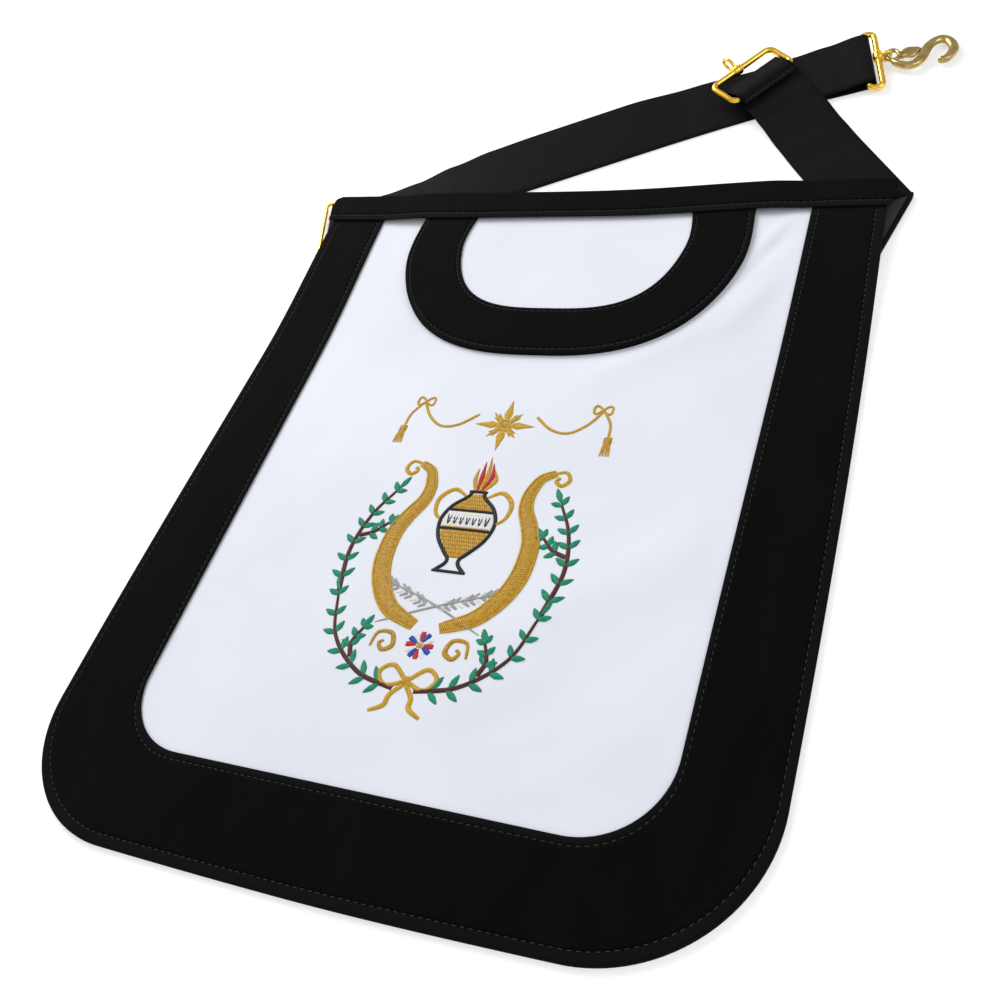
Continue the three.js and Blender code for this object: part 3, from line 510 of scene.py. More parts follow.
# %% [markdown]
# ## Velvet borders
# Each border is a flat U of velvet with a turned hem on both rims, stitched down 2 to 5 mm in. Columns
# of vertices stand close together at the stitch lines, so the groove and the rolled rim are real shape.
# The map counts up from the outer rim and down from 1000 at the inner rim.

# %% A flat U between two rims
hem_columns = [0.0, 0.06, 0.25, 0.6, 1.1, 2.0, 3.2, 4.4, 5.0, 5.5, 6.0, 6.6, 7.8, 10.0]
column_hem, roll_width, roll_depth, groove_depth, hem_press = 5.5, 1.1, 0.55, 0.26, 0.08
border_hems, flap_hems, foot_height = (4.7, 3.6), (2.6, 2.4), 0.15


def border_columns(outer_hem, inner_hem):
    """Columns across a border: mm in from either rim, scaled to its hem, or a share of the width."""
    outer = [("outer", mm * outer_hem / column_hem) for mm in hem_columns]
    middle = [("share", s) for s in (0.4, 0.5, 0.6)]
    inner = [("inner", mm * inner_hem / column_hem) for mm in reversed(hem_columns)]
    return outer + middle + inner


def rim_height(mm, seam_at):
    """Height of the pile at a distance in from a rim: rolled rim, pressed hem, stitched groove."""
    roll = -roll_depth * (1 - min(mm / roll_width, 1.0)) ** 2
    groove = -groove_depth * math.exp(-((mm - seam_at) / (0.62 * seam_at / column_hem)) ** 2)
    hem = -hem_press if mm < seam_at else 0.0
    return roll + groove + hem


def velvet_u(name, outer, inner, rows, base, foot, hems, material, length, *nodes):
    columns = border_columns(*hems)

    def place(share, k):
        (ox, oy), (ix, iy) = outer(share), inner(share)
        width = math.hypot(ix - ox, iy - oy)
        kind, value = columns[int(k)]
        v = value / width if kind == "outer" else 1 - value / width if kind == "inner" else value
        x, y = settled(ox + (ix - ox) * v, oy + (iy - oy) * v)
        if kind == "share":
            top = 0.10 * math.sin(0.05 * x + 0.9) * math.sin(0.06 * y)
        else:
            top = rim_height(value, hems[1] if kind == "inner" else hems[0])
        if kind == "outer" and value == 0.0:
            top = foot - base - velvet_depth
        return x, y, float(lift(x, y)) + base + velvet_depth + top

    def texture(share, k):
        kind, value = columns[int(k)]
        across = value if kind == "outer" else 1000 - value if kind == "inner" else 20 + 960 * value
        return share * length, across
    piece = grid_piece(name, place, rows, list(range(len(columns))), texture)
    facing(piece)
    thicken(piece, velvet_depth - 0.6, 0.12)
    finish_piece(piece, material, "velvet", "apron", *nodes)
    return piece


border = velvet_u("velvet_border", outer_edge, inner_edge, spread(320), border_base, foot_height,
                  border_hems, border_velvet, 1300.0, "border")

# %% [markdown]
# ## The flap
# The flap is a second, smaller layer of the same two cloths: a rounded tongue that hangs from the band.

# %% Flap and its border
def flap_rim(share):
    return tongue(share, flap_width / 2, flap_depth, flap_round)


def flap_inner_rim(share):
    return tongue(share, flap_inner_width / 2, flap_inner_depth, flap_inner_round)


def flap_place(u, share):
    (lx, y), rx = flap_rim(share), flap_rim(1 - share)[0]
    lx, rx, y = lx + rim_tuck, rx - rim_tuck, y + rim_tuck * share * 2
    x, y = settled(lx + (rx - lx) * u, y)
    soft = 0.12 * math.sin(x * 0.06 + 1.0) * math.sin(y * 0.05)
    held = float(ease((top_y - 24 - y) / 20)) * float(ease((u - 0.2) / 0.1)) * float(ease((0.8 - u) / 0.1))
    return x, y, float(lift(x, y)) + flap_base + cloth + soft * held


flap_rows = [0.49, *spread(50, 0.48, 0.0)]
flap = grid_piece("white_flap", flap_place, spread(70), flap_rows, lambda u, v: (u * 196, v * 380))
facing(flap)
thicken(flap, cloth)
finish_piece(flap, white, "white_cloth", "apron", "flap")
flap_border = velvet_u("velvet_flap_border", flap_rim, flap_inner_rim, spread(150), flap_border_base,
                       panel_top + foot_height, flap_hems, flap_velvet, 390.0, "flap_border")

# %% [markdown]
# ## The waist band
# A strip of velvet is folded over the panel's top edge. Its section is a long front, a round fold and a
# short back, and its ends stand a little beyond the panel. The front is sewn down just above its hem.

# %% Band
stack_top = flap_border_base + velvet_depth
side_top = border_base + velvet_depth
front_steps = [0.0, 0.02, 0.05, 0.1, 0.15, 0.18, 0.205, 0.23, 0.26, 0.35, 0.5, 0.65, 0.8, 0.92, 1.0]
band_seam, band_groove, band_roll = 4.1, 0.32, 0.25


def band_section(x):
    """Points of the band's section at x, as (y, z, outward y, outward z, mm from the hem)."""
    start, end = flap_width / 2 - flap_pinch + flap_offset + 3, half_width - side_border - 2
    step = float(ease((abs(x - top_skew) - start) / (end - start)))
    front_height = stack_top + (side_top - stack_top) * step + gap + band_thick / 2
    fold_y = top_y + gap + band_thick / 2
    here = float(lift(x, top_y))
    front, back = here + front_height, here - gap - band_thick / 2
    radius, points = (front - back) / 2, []
    for s in front_steps:
        y = top_y - band_height + (fold_y - top_y + band_height) * s
        mm = band_height * s
        groove = band_groove * math.exp(-((mm - band_seam) / 0.5) ** 2)
        roll = band_roll * (1 - min(mm / 0.8, 1)) ** 2
        points.append((y, float(lift(x, y)) + front_height - groove - roll, 0.0, 1.0, mm))
    for i in range(1, 10):
        a = math.pi / 2 - math.pi * i / 10
        points.append((fold_y + radius * 0.55 * math.cos(a), (front + back) / 2 + radius * math.sin(a),
                       math.cos(a), math.sin(a), band_height + i))
    points.append((fold_y, back, 0.0, -1.0, 40.0))
    end_y = top_y - band_back
    points.append((end_y, float(lift(x, end_y)) - gap - band_thick / 2, 0.0, -1.0, 50.0))
    return points


def band_place(u, k):
    side, k = 2 * u - 1, int(k)
    middle_x, settled_y = settled(side * (half_width - side_taper), top_y)
    y, z, ny, nz = band_section(middle_x)[k][:4]
    forward = front_steps[k] if k < len(front_steps) else 1.0
    turned_in = max(0.0, (forward - 0.78) / 0.22)
    past = band_round * (1 - math.sqrt(max(0.0, 1 - turned_in ** 2)))
    beyond = side * (band_over + band_slope * forward - past)
    wander = 0.35 * math.sin(middle_x * 0.045 + 2) * (1 - forward)
    return middle_x + beyond, y + wander + settled_y - top_y + ny * band_thick / 2, z + nz * band_thick / 2


band_points = len(band_section(0.0))
band = grid_piece("velvet_band", band_place, spread(150), list(range(band_points)),
                  lambda u, k: (u * 320, band_section(0.0)[int(k)][4]))
facing(band)
thicken(band, band_thick - 0.1, 0.2)
finish_piece(band, band_velvet, "velvet", "apron", "top_band")

# %% [markdown]
# ## The waist strap
# Each half of the strap is a ribbon through a list of stations: a centre and a vector to its left edge.
# The stations come from short tables of heading, tilt and rise, as on the solids, only closer together.

# %% Tables of the strap's course
loop_inset, loop_drop, loop_heading = 4.75, 20.0, 16.7
crease_out, crease_drop, crease_heading, sewn_heading = 2.65, 27.6, 75.2, 26.3
left_sewn, left_slant, right_sewn = 24.0, 45.0, 62.0
left_length, right_length, return_length, return_skew = 316.5, 139.0, 46.0, 4.0
fold_reach, sleeve_reach, sleeve_fold, sleeve_seam_gap = 1.2, 10.0, 1.1, 0.35
ring_wire, side_wire = 3.4, 1.8
left_table = np.array([  # along, heading, tilt, rise
    (0.0, loop_heading, 0, 0), (0.06, 19.8, 0, 0), (0.12, 22, 0, 0), (0.18, 22.8, 2, 0), (0.26, 23.8, 8, 0),
    (0.34, 25.4, 12, 0), (0.42, 25.8, 13, 0), (0.6, 25.8, 13, 0), (0.72, 24.2, 9, 0), (0.84, 21.2, 6.5, 0.05),
    (0.9, 20.5, 6.5, 1.5), (0.95, 17.5, 6.5, 2.8), (1.0, 13.5, 6.5, 5.3)])
right_table = np.array([  # along, heading, rise
    (0.0, 124.1, 0), (0.5, 124.1, 0.1), (0.66, 124.3, 1.0),
    (0.8, 125, 3.4), (0.9, 130, 5.4), (1.0, 143, 6.6)])
strap_half = strap_thick / 2
stack_step = strap_thick + gap
UP = Vector((0, 0, 1))


def heading_way(degrees):
    return Vector((math.cos(math.radians(degrees)), math.sin(math.radians(degrees)), 0))


def tilted(vector, tilt):
    """Half the strap's width along a flat vector, leaning up by the tilt."""
    half = vector * math.cos(tilt) * strap_width / 2
    half.z = math.sin(tilt) * strap_width / 2
    return half


def look_up(table, column, along, eased=False):
    i = int(np.clip(np.searchsorted(table[:, 0], along), 1, len(table) - 1))
    t = float(np.clip((along - table[i - 1, 0]) / (table[i, 0] - table[i - 1, 0]), 0, 1))
    t = float(ease(t)) if eased else t
    return float(table[i - 1, column] + (table[i, column] - table[i - 1, column]) * t)


def wrap(wire):
    return wire / 2 + gap + strap_half


def fold(axis, half, out, up, radius, steps):
    """Stations of a half turn about an axis line."""
    turns = [math.pi * i / steps - math.pi / 2 for i in range(1, steps)]
    return [(axis + out * radius * math.cos(a) + up * radius * math.sin(a), half.copy()) for a in turns]


print("strap tables:", len(left_table), "and", len(right_table), "rows")

# %% [markdown]
# ### The left half
# It is sewn under the panel's left corner, turns round the wire of the side loop, crosses the table
# behind the apron and is folded back round the bar of the hook's ring.

# %% Left strap's stations
loop_bar = Vector((-half_width + loop_inset, top_y - loop_drop, strap_half + wrap(side_wire)))
loop_out = heading_way(loop_heading + 180)
loop_half = heading_way(loop_heading + 90) * strap_width / 2


def left_run():
    stations, point, last = [], loop_bar - loop_half, 0.0
    for share in spread(136):
        point = point + heading_way(look_up(left_table, 1, (share + last) / 2)) * (share - last) * left_length
        tilt = math.radians(look_up(left_table, 2, share, True))
        half = tilted(heading_way(look_up(left_table, 1, share) + 90), tilt)
        low = Vector((point.x, point.y, strap_half + look_up(left_table, 3, share, True)))
        stations.append((low + half, half))
        last = share
    return stations


def left_sewn_layer():
    top = loop_bar.z + wrap(side_wire)
    sewn_top = middle_lift + left_lift - band_thick - 2 * gap - strap_half
    stations = []
    for share in spread(14):
        centre = loop_bar - loop_out * left_sewn * (1 - share)
        centre.z = sewn_top + (top - sewn_top) * float(ease(share * 2.5 - 1.5))
        lean = math.tan(math.radians(left_slant * (1 - share))) * strap_width / 2
        stations.append((centre, loop_half + loop_out * lean))
    return stations


run = left_run()
hook_end, hook_half = run[-1][0], run[-1][1].copy()
hook_out = heading_way(left_table[-1, 1])
hook_up = hook_out.cross(hook_half).normalized()
hook_bar = hook_end - hook_up * wrap(ring_wire)


def left_return():
    turn = fold(hook_bar + hook_out * fold_reach, hook_half, hook_out, -hook_up, wrap(ring_wire), 16)
    back = heading_way(left_table[-1, 1] + 180 + return_skew)
    side = Vector((back.y, -back.x, 0))
    depth = np.array([(0, 1), (0.1, 0.93), (0.28, 0.45), (1, 0)])
    stations = list(turn)
    for share in (0.06, 0.11, 0.16, 0.22, 0.28, 0.36, 0.45, 0.55, 0.65, 0.75, 0.85, 1.0):
        centre = hook_bar + back * (share * return_length - fold_reach)
        half = tilted(side, math.radians(left_table[-1, 2]))
        low = look_up(depth, 1, share) * (hook_bar.z - hook_half.z - wrap(ring_wire) - strap_half)
        centre.z = strap_half + max(low, 0) + half.z
        stations.append((centre, half))
    return stations


left_stations = (left_sewn_layer() + fold(loop_bar, loop_half, loop_out, -UP, wrap(side_wire), 16)
                 + run + left_return())
print("left strap:", len(left_stations), "stations; hook ring's bar at", [round(v, 1) for v in hook_bar])

# %% [markdown]
# ### The right half
# It comes out from under the panel's right corner, is creased flat beyond it, runs up over the left
# half and ends in the sleeve that holds the keeper's bar.

# %% Right strap's stations
crease_radius = (stack_step + gap) / 2
crease = Vector((half_width + crease_out, top_y - crease_drop, strap_half + crease_radius))
run_heading = right_table[0, 1]
crease_angle = math.radians(run_heading - crease_heading)
crease_half = heading_way(crease_heading) * (strap_width / 2 / math.sin(crease_angle))


def slanted(heading, slant):
    lean = heading_way(heading) * math.tan(math.radians(slant))
    return heading_way(heading + 90) * strap_width / 2 + lean * strap_width / 2


def incoming():
    corner = crease - heading_way(sewn_heading) * right_sewn
    corner = corner + heading_way(sewn_heading - 90) * strap_width / 2
    start = float(lift(corner.x, corner.y)) - gap - strap_half
    end = crease.z + crease_radius
    slant = crease_heading - (sewn_heading + 90)
    stations = []
    for share in spread(28):
        centre = crease - heading_way(sewn_heading) * right_sewn * (1 - share)
        centre.z = start + (end - start) * float(ease(share))
        stations.append((centre, slanted(sewn_heading, -slant * float(ease(share * 2 - 1)))))
    return stations


def right_run():
    stations, last = [], 0.0
    point = Vector((crease.x, crease.y, strap_half))
    slant = run_heading - 90 - crease_heading
    for share in spread(80):
        way_on = heading_way(look_up(right_table, 1, (share + last) / 2))
        point = point + way_on * (share - last) * right_length
        half = -slanted(look_up(right_table, 1, share), slant * (1 - float(ease(share * 4.5))))
        height = strap_half + look_up(right_table, 2, share, True)
        stations.append((Vector((point.x, point.y, height)), half))
        last = share
    return stations


right_course = right_run()
keeper_end, keeper_half = right_course[-1][0], right_course[-1][1].copy()
keeper_out = heading_way(right_table[-1, 1])
keeper_bar = keeper_end + UP * wrap(ring_wire)


def keeper_sleeve():
    """The sleeve's section: out under the bar, round its fold, and back over the bar to the seam."""
    low, top = keeper_end.z, keeper_bar.z + wrap(ring_wire)
    under, over = keeper_bar.z - sleeve_fold, keeper_bar.z + sleeve_fold
    seam_height = low + stack_step + sleeve_seam_gap

    def at(distance, height):
        centre = keeper_bar + keeper_out * distance
        centre.z = height
        return centre, keeper_half.copy()
    out = [at(1.5, low + 0.03), at(3, low + 0.1), at(4.8, (low + under - 0.5) / 2 + 0.1),
           at(6.5, under - 0.5), at(sleeve_reach, under)]
    turn = fold(keeper_bar + keeper_out * sleeve_reach, keeper_half, keeper_out, UP, sleeve_fold, 14)
    back = [at(sleeve_reach, over), at(6.5, over + 0.5), at(4.8, (top + over + 0.5) / 2 - 0.1),
            at(3, top - 0.1), at(1.5, top - 0.03), at(0, top), at(-1.2, top - 0.12),
            at(-2.5, top - 0.5), at(-4.2, (top - 0.5 + seam_height) / 2), at(-6, seam_height)]
    return out + turn + back


crease_out_way, crease_steps = heading_way(crease_heading - 90), 12
right_stations = (incoming() + fold(crease, crease_half, crease_out_way, -UP, crease_radius, crease_steps)
                  + right_course + keeper_sleeve())
print("right strap:", len(right_stations), "stations; keeper's bar at", [round(v, 1) for v in keeper_bar])

# %% [markdown]
# ### From stations to webbing
# A ribbon is a grid with one row of vertices per station and the thickness of the webbing. Where the
# right half is creased, its pointed corner is worn round, more so on the upper layer.

# %% Ribbons through the stations
def rounded_corner(point, tip, first, second, radius):
    """Pulls a point back onto an arc where it lies beyond the arc in the wedge at tip."""
    half_angle = first.angle(second) / 2
    centre = tip + (first + second).normalized() * radius / math.sin(half_angle)
    reach = radius / math.tan(half_angle)
    flat = Vector((point.x - tip.x, point.y - tip.y, 0))
    if flat.dot(first) < reach and flat.dot(second) < reach:
        gone = Vector((point.x - centre.x, point.y - centre.y, 0))
        if gone.length > radius:
            gone = gone.normalized() * radius
            return Vector((centre.x + gone.x, centre.y + gone.y, point.z))
    return point


def ribbon(name, stations, material, node, corner=None):
    centres = np.array([c for c, _ in stations])
    halves = np.array([h for _, h in stations])
    steps = np.linalg.norm(np.diff(centres, axis=0), axis=1)
    along = np.concatenate([[0], np.cumsum(steps)])
    sides = spread(12, -1.0, 1.0)

    def place(i, v):
        point = Vector(centres[int(i)] + halves[int(i)] * v)
        return corner(int(i), point) if corner else point
    piece = grid_piece(name, place, list(range(len(stations))), sides,
                       lambda i, v: (along[int(i)], (v + 1) * strap_width / 2))
    thicken(piece, strap_thick, 0.22, 0, 60)
    finish_piece(piece, material, "webbing", "apron", node)
    print(name, "is", round(float(along[-1]), 1), "mm long")
    return piece, float(along[-1])


left_strap, left_cut = ribbon("webbing_left", left_stations, strap_cloth, "left_strap")
crease_way = heading_way(crease_heading)
crease_tip = crease + crease_half + crease_out_way * crease_radius
before_run = len(incoming()) + crease_steps - 1
lower_corner, upper_corner = 2.2, 6.0


def turn_corner(i, point):
    if i < before_run:
        return rounded_corner(point, crease_tip, -crease_way, -crease_out_way, lower_corner)
    return rounded_corner(point, crease_tip, -crease_way, heading_way(run_heading), upper_corner)


right_strap, right_cut = ribbon("webbing_right", right_stations, folded_cloth_painted_highlight, "right_strap", turn_corner)

# %% [markdown]
# ## Metal hardware
# Wire, collars, eyes and the hook are one kind of shape: a closed section carried along a line. A grid
# primitive is wrapped into that tube, and its seam and any pointed ends are merged by distance.

# %% Tubes
def tube(name, stations, around=20):
    """stations: (centre, side vector, up vector); the section is an ellipse on those two vectors."""
    turns = [2 * math.pi * i / around for i in range(around + 1)]
    lengths = np.concatenate([[0], np.cumsum([(Vector(b[0]) - Vector(a[0])).length
                                              for a, b in zip(stations, stations[1:])])])

    def place(i, a):
        centre, side, up = stations[int(i)]
        return centre + side * math.cos(a) + up * math.sin(a)
    piece = grid_piece(name, place, list(range(len(stations))), turns,
                       lambda i, a: (lengths[int(i)], stations[int(i)][1].length * math.cos(a)))
    pick(piece)
    bpy.ops.object.mode_set(mode="EDIT")
    bpy.ops.mesh.select_all(action="SELECT")
    bpy.ops.mesh.remove_doubles(threshold=0.004 * MM)
    bpy.ops.mesh.normals_make_consistent(inside=False)
    bpy.ops.object.mode_set(mode="OBJECT")
    bpy.ops.object.shade_smooth_by_angle(angle=math.radians(50))
    return piece


def join(pieces, name):
    nothing_selected()
    for piece in pieces:
        piece.select_set(True)
    bpy.context.view_layer.objects.active = pieces[0]
    bpy.ops.object.join()
    whole = bpy.context.object
    whole.name = whole.data.name = name
    return whole


def closed_stations(path, normal, radius):
    """Stations of round wire along a closed flat path, ending where it begins."""
    count, stations = len(path), []
    for i in range(count + 1):
        before, after = path[(i - 1) % count], path[(i + 1) % count]
        side = (after - before).cross(normal).normalized()
        stations.append((path[i % count], side * radius, normal * radius))
    return stations


def wire_loop(name, bar, along, out, wire, length, pitch, corner):
    normal = out.cross(along).normalized()
    half, r, path = (length - wire) / 2, corner, []
    for side, row, turn in ((-1, 0, math.pi), (1, 0, -math.pi / 2), (1, 1, 0.0), (-1, 1, math.pi / 2)):
        for i in range(11):
            a = turn + math.pi / 2 * i / 10
            x = side * (half - r) + r * math.cos(a)
            y = (pitch - r if row else r) + r * math.sin(a)
            path.append(bar + along * x + out * y)
    return tube(name, closed_stations(path, normal, wire / 2))


def oval(centre, long_way, short_way, length, width, count=40):
    return [centre + long_way * length / 2 * math.cos(2 * math.pi * i / count)
            + short_way * width / 2 * math.sin(2 * math.pi * i / count) for i in range(count)]


ring_length, collar_wall, eye_wire, eye_width = 47.0, 1.1, 1.8, 7.4


def end_ring(name, bar, along, out, pitch, corner, share, rise, eye_length):
    """Ring of wire with a collar round its outer bar and a small eye beyond the collar."""
    normal = out.cross(along).normalized()
    wire = wire_loop(name + "_wire", bar, along, out, ring_wire, ring_length, pitch, corner)
    centre = bar + out * pitch + along * (share - 0.5) * (ring_length - ring_wire)
    outer = ring_wire / 2 + collar_wall
    profile = [(-2.75, 1.3), (-2.75, outer - 0.7), (-2.55, outer - 0.35), (-2.0, outer - 0.05), (-1.3, outer),
               (-1.15, outer - 0.12), (-1.0, outer), (1.0, outer), (1.15, outer - 0.12), (1.3, outer),
               (2.0, outer - 0.05), (2.55, outer - 0.35), (2.75, outer - 0.7), (2.75, 1.3)]
    collar = tube(name + "_collar", [(centre + along * x, out * r, normal * r) for x, r in profile], 32)
    way = out * math.cos(math.radians(rise)) + normal * math.sin(math.radians(rise))
    across = way.cross(along).normalized()
    eye_centre = centre + way * (outer + eye_length / 2 - eye_wire * 0.9)
    path = oval(eye_centre, way, across, eye_length - eye_wire, eye_width - eye_wire)
    eye = tube(name + "_eye", closed_stations(path, along, eye_wire / 2), 14)
    return join([wire, collar, eye], name), eye_centre


print("tube helpers are ready; the rings are", ring_length, "mm long")

# %% [markdown]
# ### Three rings
# The side loop is plain wire. The keeper and the hook's ring each have a collar with a small eye, and
# each rides on its own body.

# %% Rings
side_loop_length, side_loop_pitch, side_loop_corner, side_loop_swell = 46.0, 5.6, 2.5, 0.4
keeper_pitch, keeper_corner, keeper_share, keeper_eye = 18.5, 4.0, 0.44, 11.0
hook_ring_pitch, hook_ring_corner, hook_ring_share, hook_ring_eye = 7.2, 3.2, 0.56, 6.5
eye_rise, keeper_lift, hook_ring_dip = -4.0, 8.0, 5.0

loop_along = heading_way(loop_heading + 90)
side_loop = wire_loop("side_loop_wire", loop_bar, loop_along, loop_out, side_wire + side_loop_swell,
                      side_loop_length, side_loop_pitch, side_loop_corner)
finish_piece(side_loop, gilt, "gilt_wire", "apron", "side_loop")

keeper_along = keeper_half.normalized()
keeper_rise = math.radians(keeper_lift)
keeper_ring_out = keeper_out * math.cos(keeper_rise) + UP * math.sin(keeper_rise)
keeper_ring = end_ring("keeper_ring_wire", keeper_bar, keeper_along, keeper_ring_out, keeper_pitch,
                       keeper_corner, keeper_share, eye_rise, keeper_eye)[0]
finish_piece(keeper_ring, gilt, "gilt_wire", "keeper", "keeper_ring")

hook_along = hook_half.normalized()
dip = math.radians(hook_ring_dip)
hook_ring_out = hook_out * math.cos(dip) + hook_along.cross(hook_out) * math.sin(dip)
hook_ring, hook_eye_centre = end_ring("hook_ring_wire", hook_bar, hook_along, hook_ring_out, hook_ring_pitch,
                                      hook_ring_corner, hook_ring_share, eye_rise, hook_ring_eye)
finish_piece(hook_ring, gilt, "gilt_wire", "hook", "hook_ring")
print("hook ring's eye is at", [round(v, 1) for v in hook_eye_centre])

# %% [markdown]
# ### The snake hook
# A cast S of brass whose body and head follow two short tables: along the hook, across it, and the
# width as a share of its full width. Its own eye passes through the ring's eye.

# %% Snake hook
hook_curve = np.array([  # along, across, width
    (0.7, -0.25, 0.55), (0.735, -0.262, 0.75), (0.8, -0.235, 0.86), (0.875, -0.13, 0.95), (0.925, 0, 1.05),
    (0.915, 0.13, 1.05), (0.86, 0.255, 1), (0.76, 0.31, 1), (0.65, 0.265, 1), (0.56, 0.16, 1.05),
    (0.505, 0.04, 1.1),
    (0.46, -0.09, 1.1), (0.395, -0.215, 1.05), (0.32, -0.3, 0.95), (0.22, -0.325, 0.85), (0.11, -0.275, 0.7),
    (0.02, -0.205, 0.55), (0, -0.14, 0.45)])
head_curve = np.array([
    (0.09, -0.035, 0.6), (0.13, -0.02, 1.15), (0.17, -0.005, 1.05), (0.21, 0.015, 1.6), (0.27, 0.035, 1.85),
    (0.34, 0.06, 1.35), (0.42, 0.085, 0.35)])
hook_length, hook_width, hook_thick, hook_eye_wire = 34.0, 5.2, 4.0, 2.3
hook_eye_long, hook_eye_short, hook_heading, hook_droop = 11.5, 9.0, 8.0, math.radians(3)
way, side_way = heading_way(hook_heading), UP.cross(heading_way(hook_heading))
way = (way * math.cos(hook_droop) - UP * math.sin(hook_droop)).normalized()
hook_normal = way.cross(side_way).normalized()
hook_centre = hook_eye_centre + hook_ring_out * (hook_eye_short - hook_eye_wire) / 2


def smooth_rows(table, steps):
    """Catmull-Rom through the rows of a table."""
    ends = np.vstack([2 * table[0] - table[1], table, 2 * table[-1] - table[-2]])
    rows = []
    for s in spread(steps, 0, len(table) - 1):
        i = min(int(s), len(table) - 2)
        t = s - i
        a, b, c, d = ends[i:i + 4]
        square, cube = 2 * a - 5 * b + 4 * c - d, 3 * b - a - 3 * c + d
        rows.append(0.5 * (2 * b + (c - a) * t + square * t * t + cube * t ** 3))
    return np.array(rows)


def tapered(name, table, steps, thick):
    """A cast rod whose width follows the table; its ends close to round points."""
    rows = smooth_rows(table, steps)
    rows[:, 2] = np.maximum(rows[:, 2], 0.3)
    points = [hook_centre + way * r[0] * hook_length + side_way * r[1] * hook_length for r in rows]
    stations = []
    for i, (point, row) in enumerate(zip(points, rows)):
        tangent = (points[min(i + 1, len(points) - 1)] - points[max(i - 1, 0)]).normalized()
        side = tangent.cross(hook_normal).normalized()
        width = row[2] * hook_width
        stations.append((point, side * width / 2, hook_normal * thick / 2 * min(1, width / thick + 0.15)))

    def cap(end, before, reach):
        """Shrinking stations that close one end, from the rod out to the point."""
        tangent = (points[end] - points[before]).normalized()
        centre, side, up = stations[end]
        return [(centre + tangent * reach * (1 - (1 - k) ** 2) ** 0.5, side * (1 - k), up * (1 - k))
                for k in (0.15, 0.4, 0.7, 1.0)]
    return tube(name, cap(0, 1, 0.9)[::-1] + stations + cap(-1, -2, 0.8))


eye_path = oval(hook_centre, side_way, way, hook_eye_long - hook_eye_wire, hook_eye_short - hook_eye_wire)
hook_eye = tube("hook_own_eye", closed_stations(eye_path, hook_normal, hook_eye_wire / 2), 16)
snake_hook = join([tapered("hook_body", hook_curve, 110, hook_thick),
                   tapered("hook_head", head_curve, 36, hook_thick * 0.9), hook_eye], "snake_hook_cast")
finish_piece(snake_hook, brass, "hook_brass", "hook", "snake_hook")
print("hook has", len(snake_hook.data.polygons), "faces")

# %% [markdown]
# ## Lines of stitches
# One stitch is a small flattened bead. An array modifier repeats it and each copy is then laid on the
# cloth, so a whole seam is a single joined mesh.

# %% Beads laid along a line
leaf_sides, leaf_rings = 12, 8


def beads(name, places, segments=8, rings=6):
    """places: (centre, half-length vector, half-width vector, half-height vector), all in mm."""
    nothing_selected()
    bpy.ops.mesh.primitive_uv_sphere_add(segments=segments, ring_count=rings, radius=1)
    piece = bpy.context.object
    piece.name = piece.data.name = name
    one = len(piece.data.vertices)
    row = piece.modifiers.new("row", "ARRAY")
    row.count, row.use_relative_offset, row.use_constant_offset = len(places), False, True
    row.constant_offset_displace = (4, 0, 0)
    bpy.ops.object.modifier_apply(modifier=row.name)
    flat = np.empty(len(piece.data.vertices) * 3)
    piece.data.vertices.foreach_get("co", flat)
    ball = flat.reshape(-1, 3)[:one]
    points, maps = [], []
    for centre, along, across, up in places:
        pointed = np.sqrt(np.clip(1 - np.abs(ball[:, 0]), 0, 1)) if across.length > 0.8 else np.ones(one)
        sideways = ball[:, 1] * (0.35 + 0.65 * pointed)
        points.append(np.array(centre) + np.outer(ball[:, 0], along) + np.outer(sideways, across)
                      + np.outer(ball[:, 2], up))
        maps.append(np.stack([ball[:, 0] * along.length, ball[:, 1] * across.length], 1))
    piece.data.vertices.foreach_set("co", (np.concatenate(points) * MM).ravel())
    loops = np.empty(len(piece.data.loops), dtype=np.int32)
    piece.data.loops.foreach_get("vertex_index", loops)
    piece.data.uv_layers[0].data.foreach_set("uv", np.concatenate(maps)[loops].ravel())
    piece.data.update()
    pick(piece)
    bpy.ops.object.mode_set(mode="EDIT")
    bpy.ops.mesh.select_all(action="SELECT")
    bpy.ops.mesh.normals_make_consistent(inside=False)
    bpy.ops.object.mode_set(mode="OBJECT")
    bpy.ops.object.shade_smooth()
    return piece


print("beads hold", leaf_sides, "sides on a leaf")

# %% [markdown]
# ### Seams
# The rows run inside every hem of the velvet and along the band. A short zigzag closes the keeper's
# sleeve. The thread is dark grey, so only its highlights tell it from the pile.

# %% Rows of stitches
stitch_pitch, stitch_length, stitch_width, stitch_height = 3.3, 2.1, 0.26, 0.10


def even_points(line, pitch):
    """Points and directions at even steps along a polyline of vectors."""
    line = [Vector(p) for p in line]
    gone, spots, target = 0.0, [], pitch / 2
    for a, b in zip(line, line[1:]):
        length = (b - a).length
        while length > 0 and target <= gone + length:
            spots.append((a.lerp(b, (target - gone) / length), (b - a) / length))
            target += pitch
        gone += length
    return spots


def seam(line):
    return [(p, d * stitch_length / 2, UP.cross(d).normalized() * stitch_width / 2, UP * stitch_height)
            for p, d in even_points(line, stitch_pitch)]


def rim_line(outer, inner, inset, base, from_inner=False):
    """The stitched line of a velvet border, at the bottom of its groove."""
    line = []
    for share in spread(320):
        (ox, oy), (ix, iy) = outer(share), inner(share)
        width = math.hypot(ix - ox, iy - oy)
        v = 1 - inset / width if from_inner else inset / width
        x, y = settled(ox + (ix - ox) * v, oy + (iy - oy) * v)
        line.append((x, y, float(lift(x, y)) + base + velvet_depth - groove_depth))
    return line


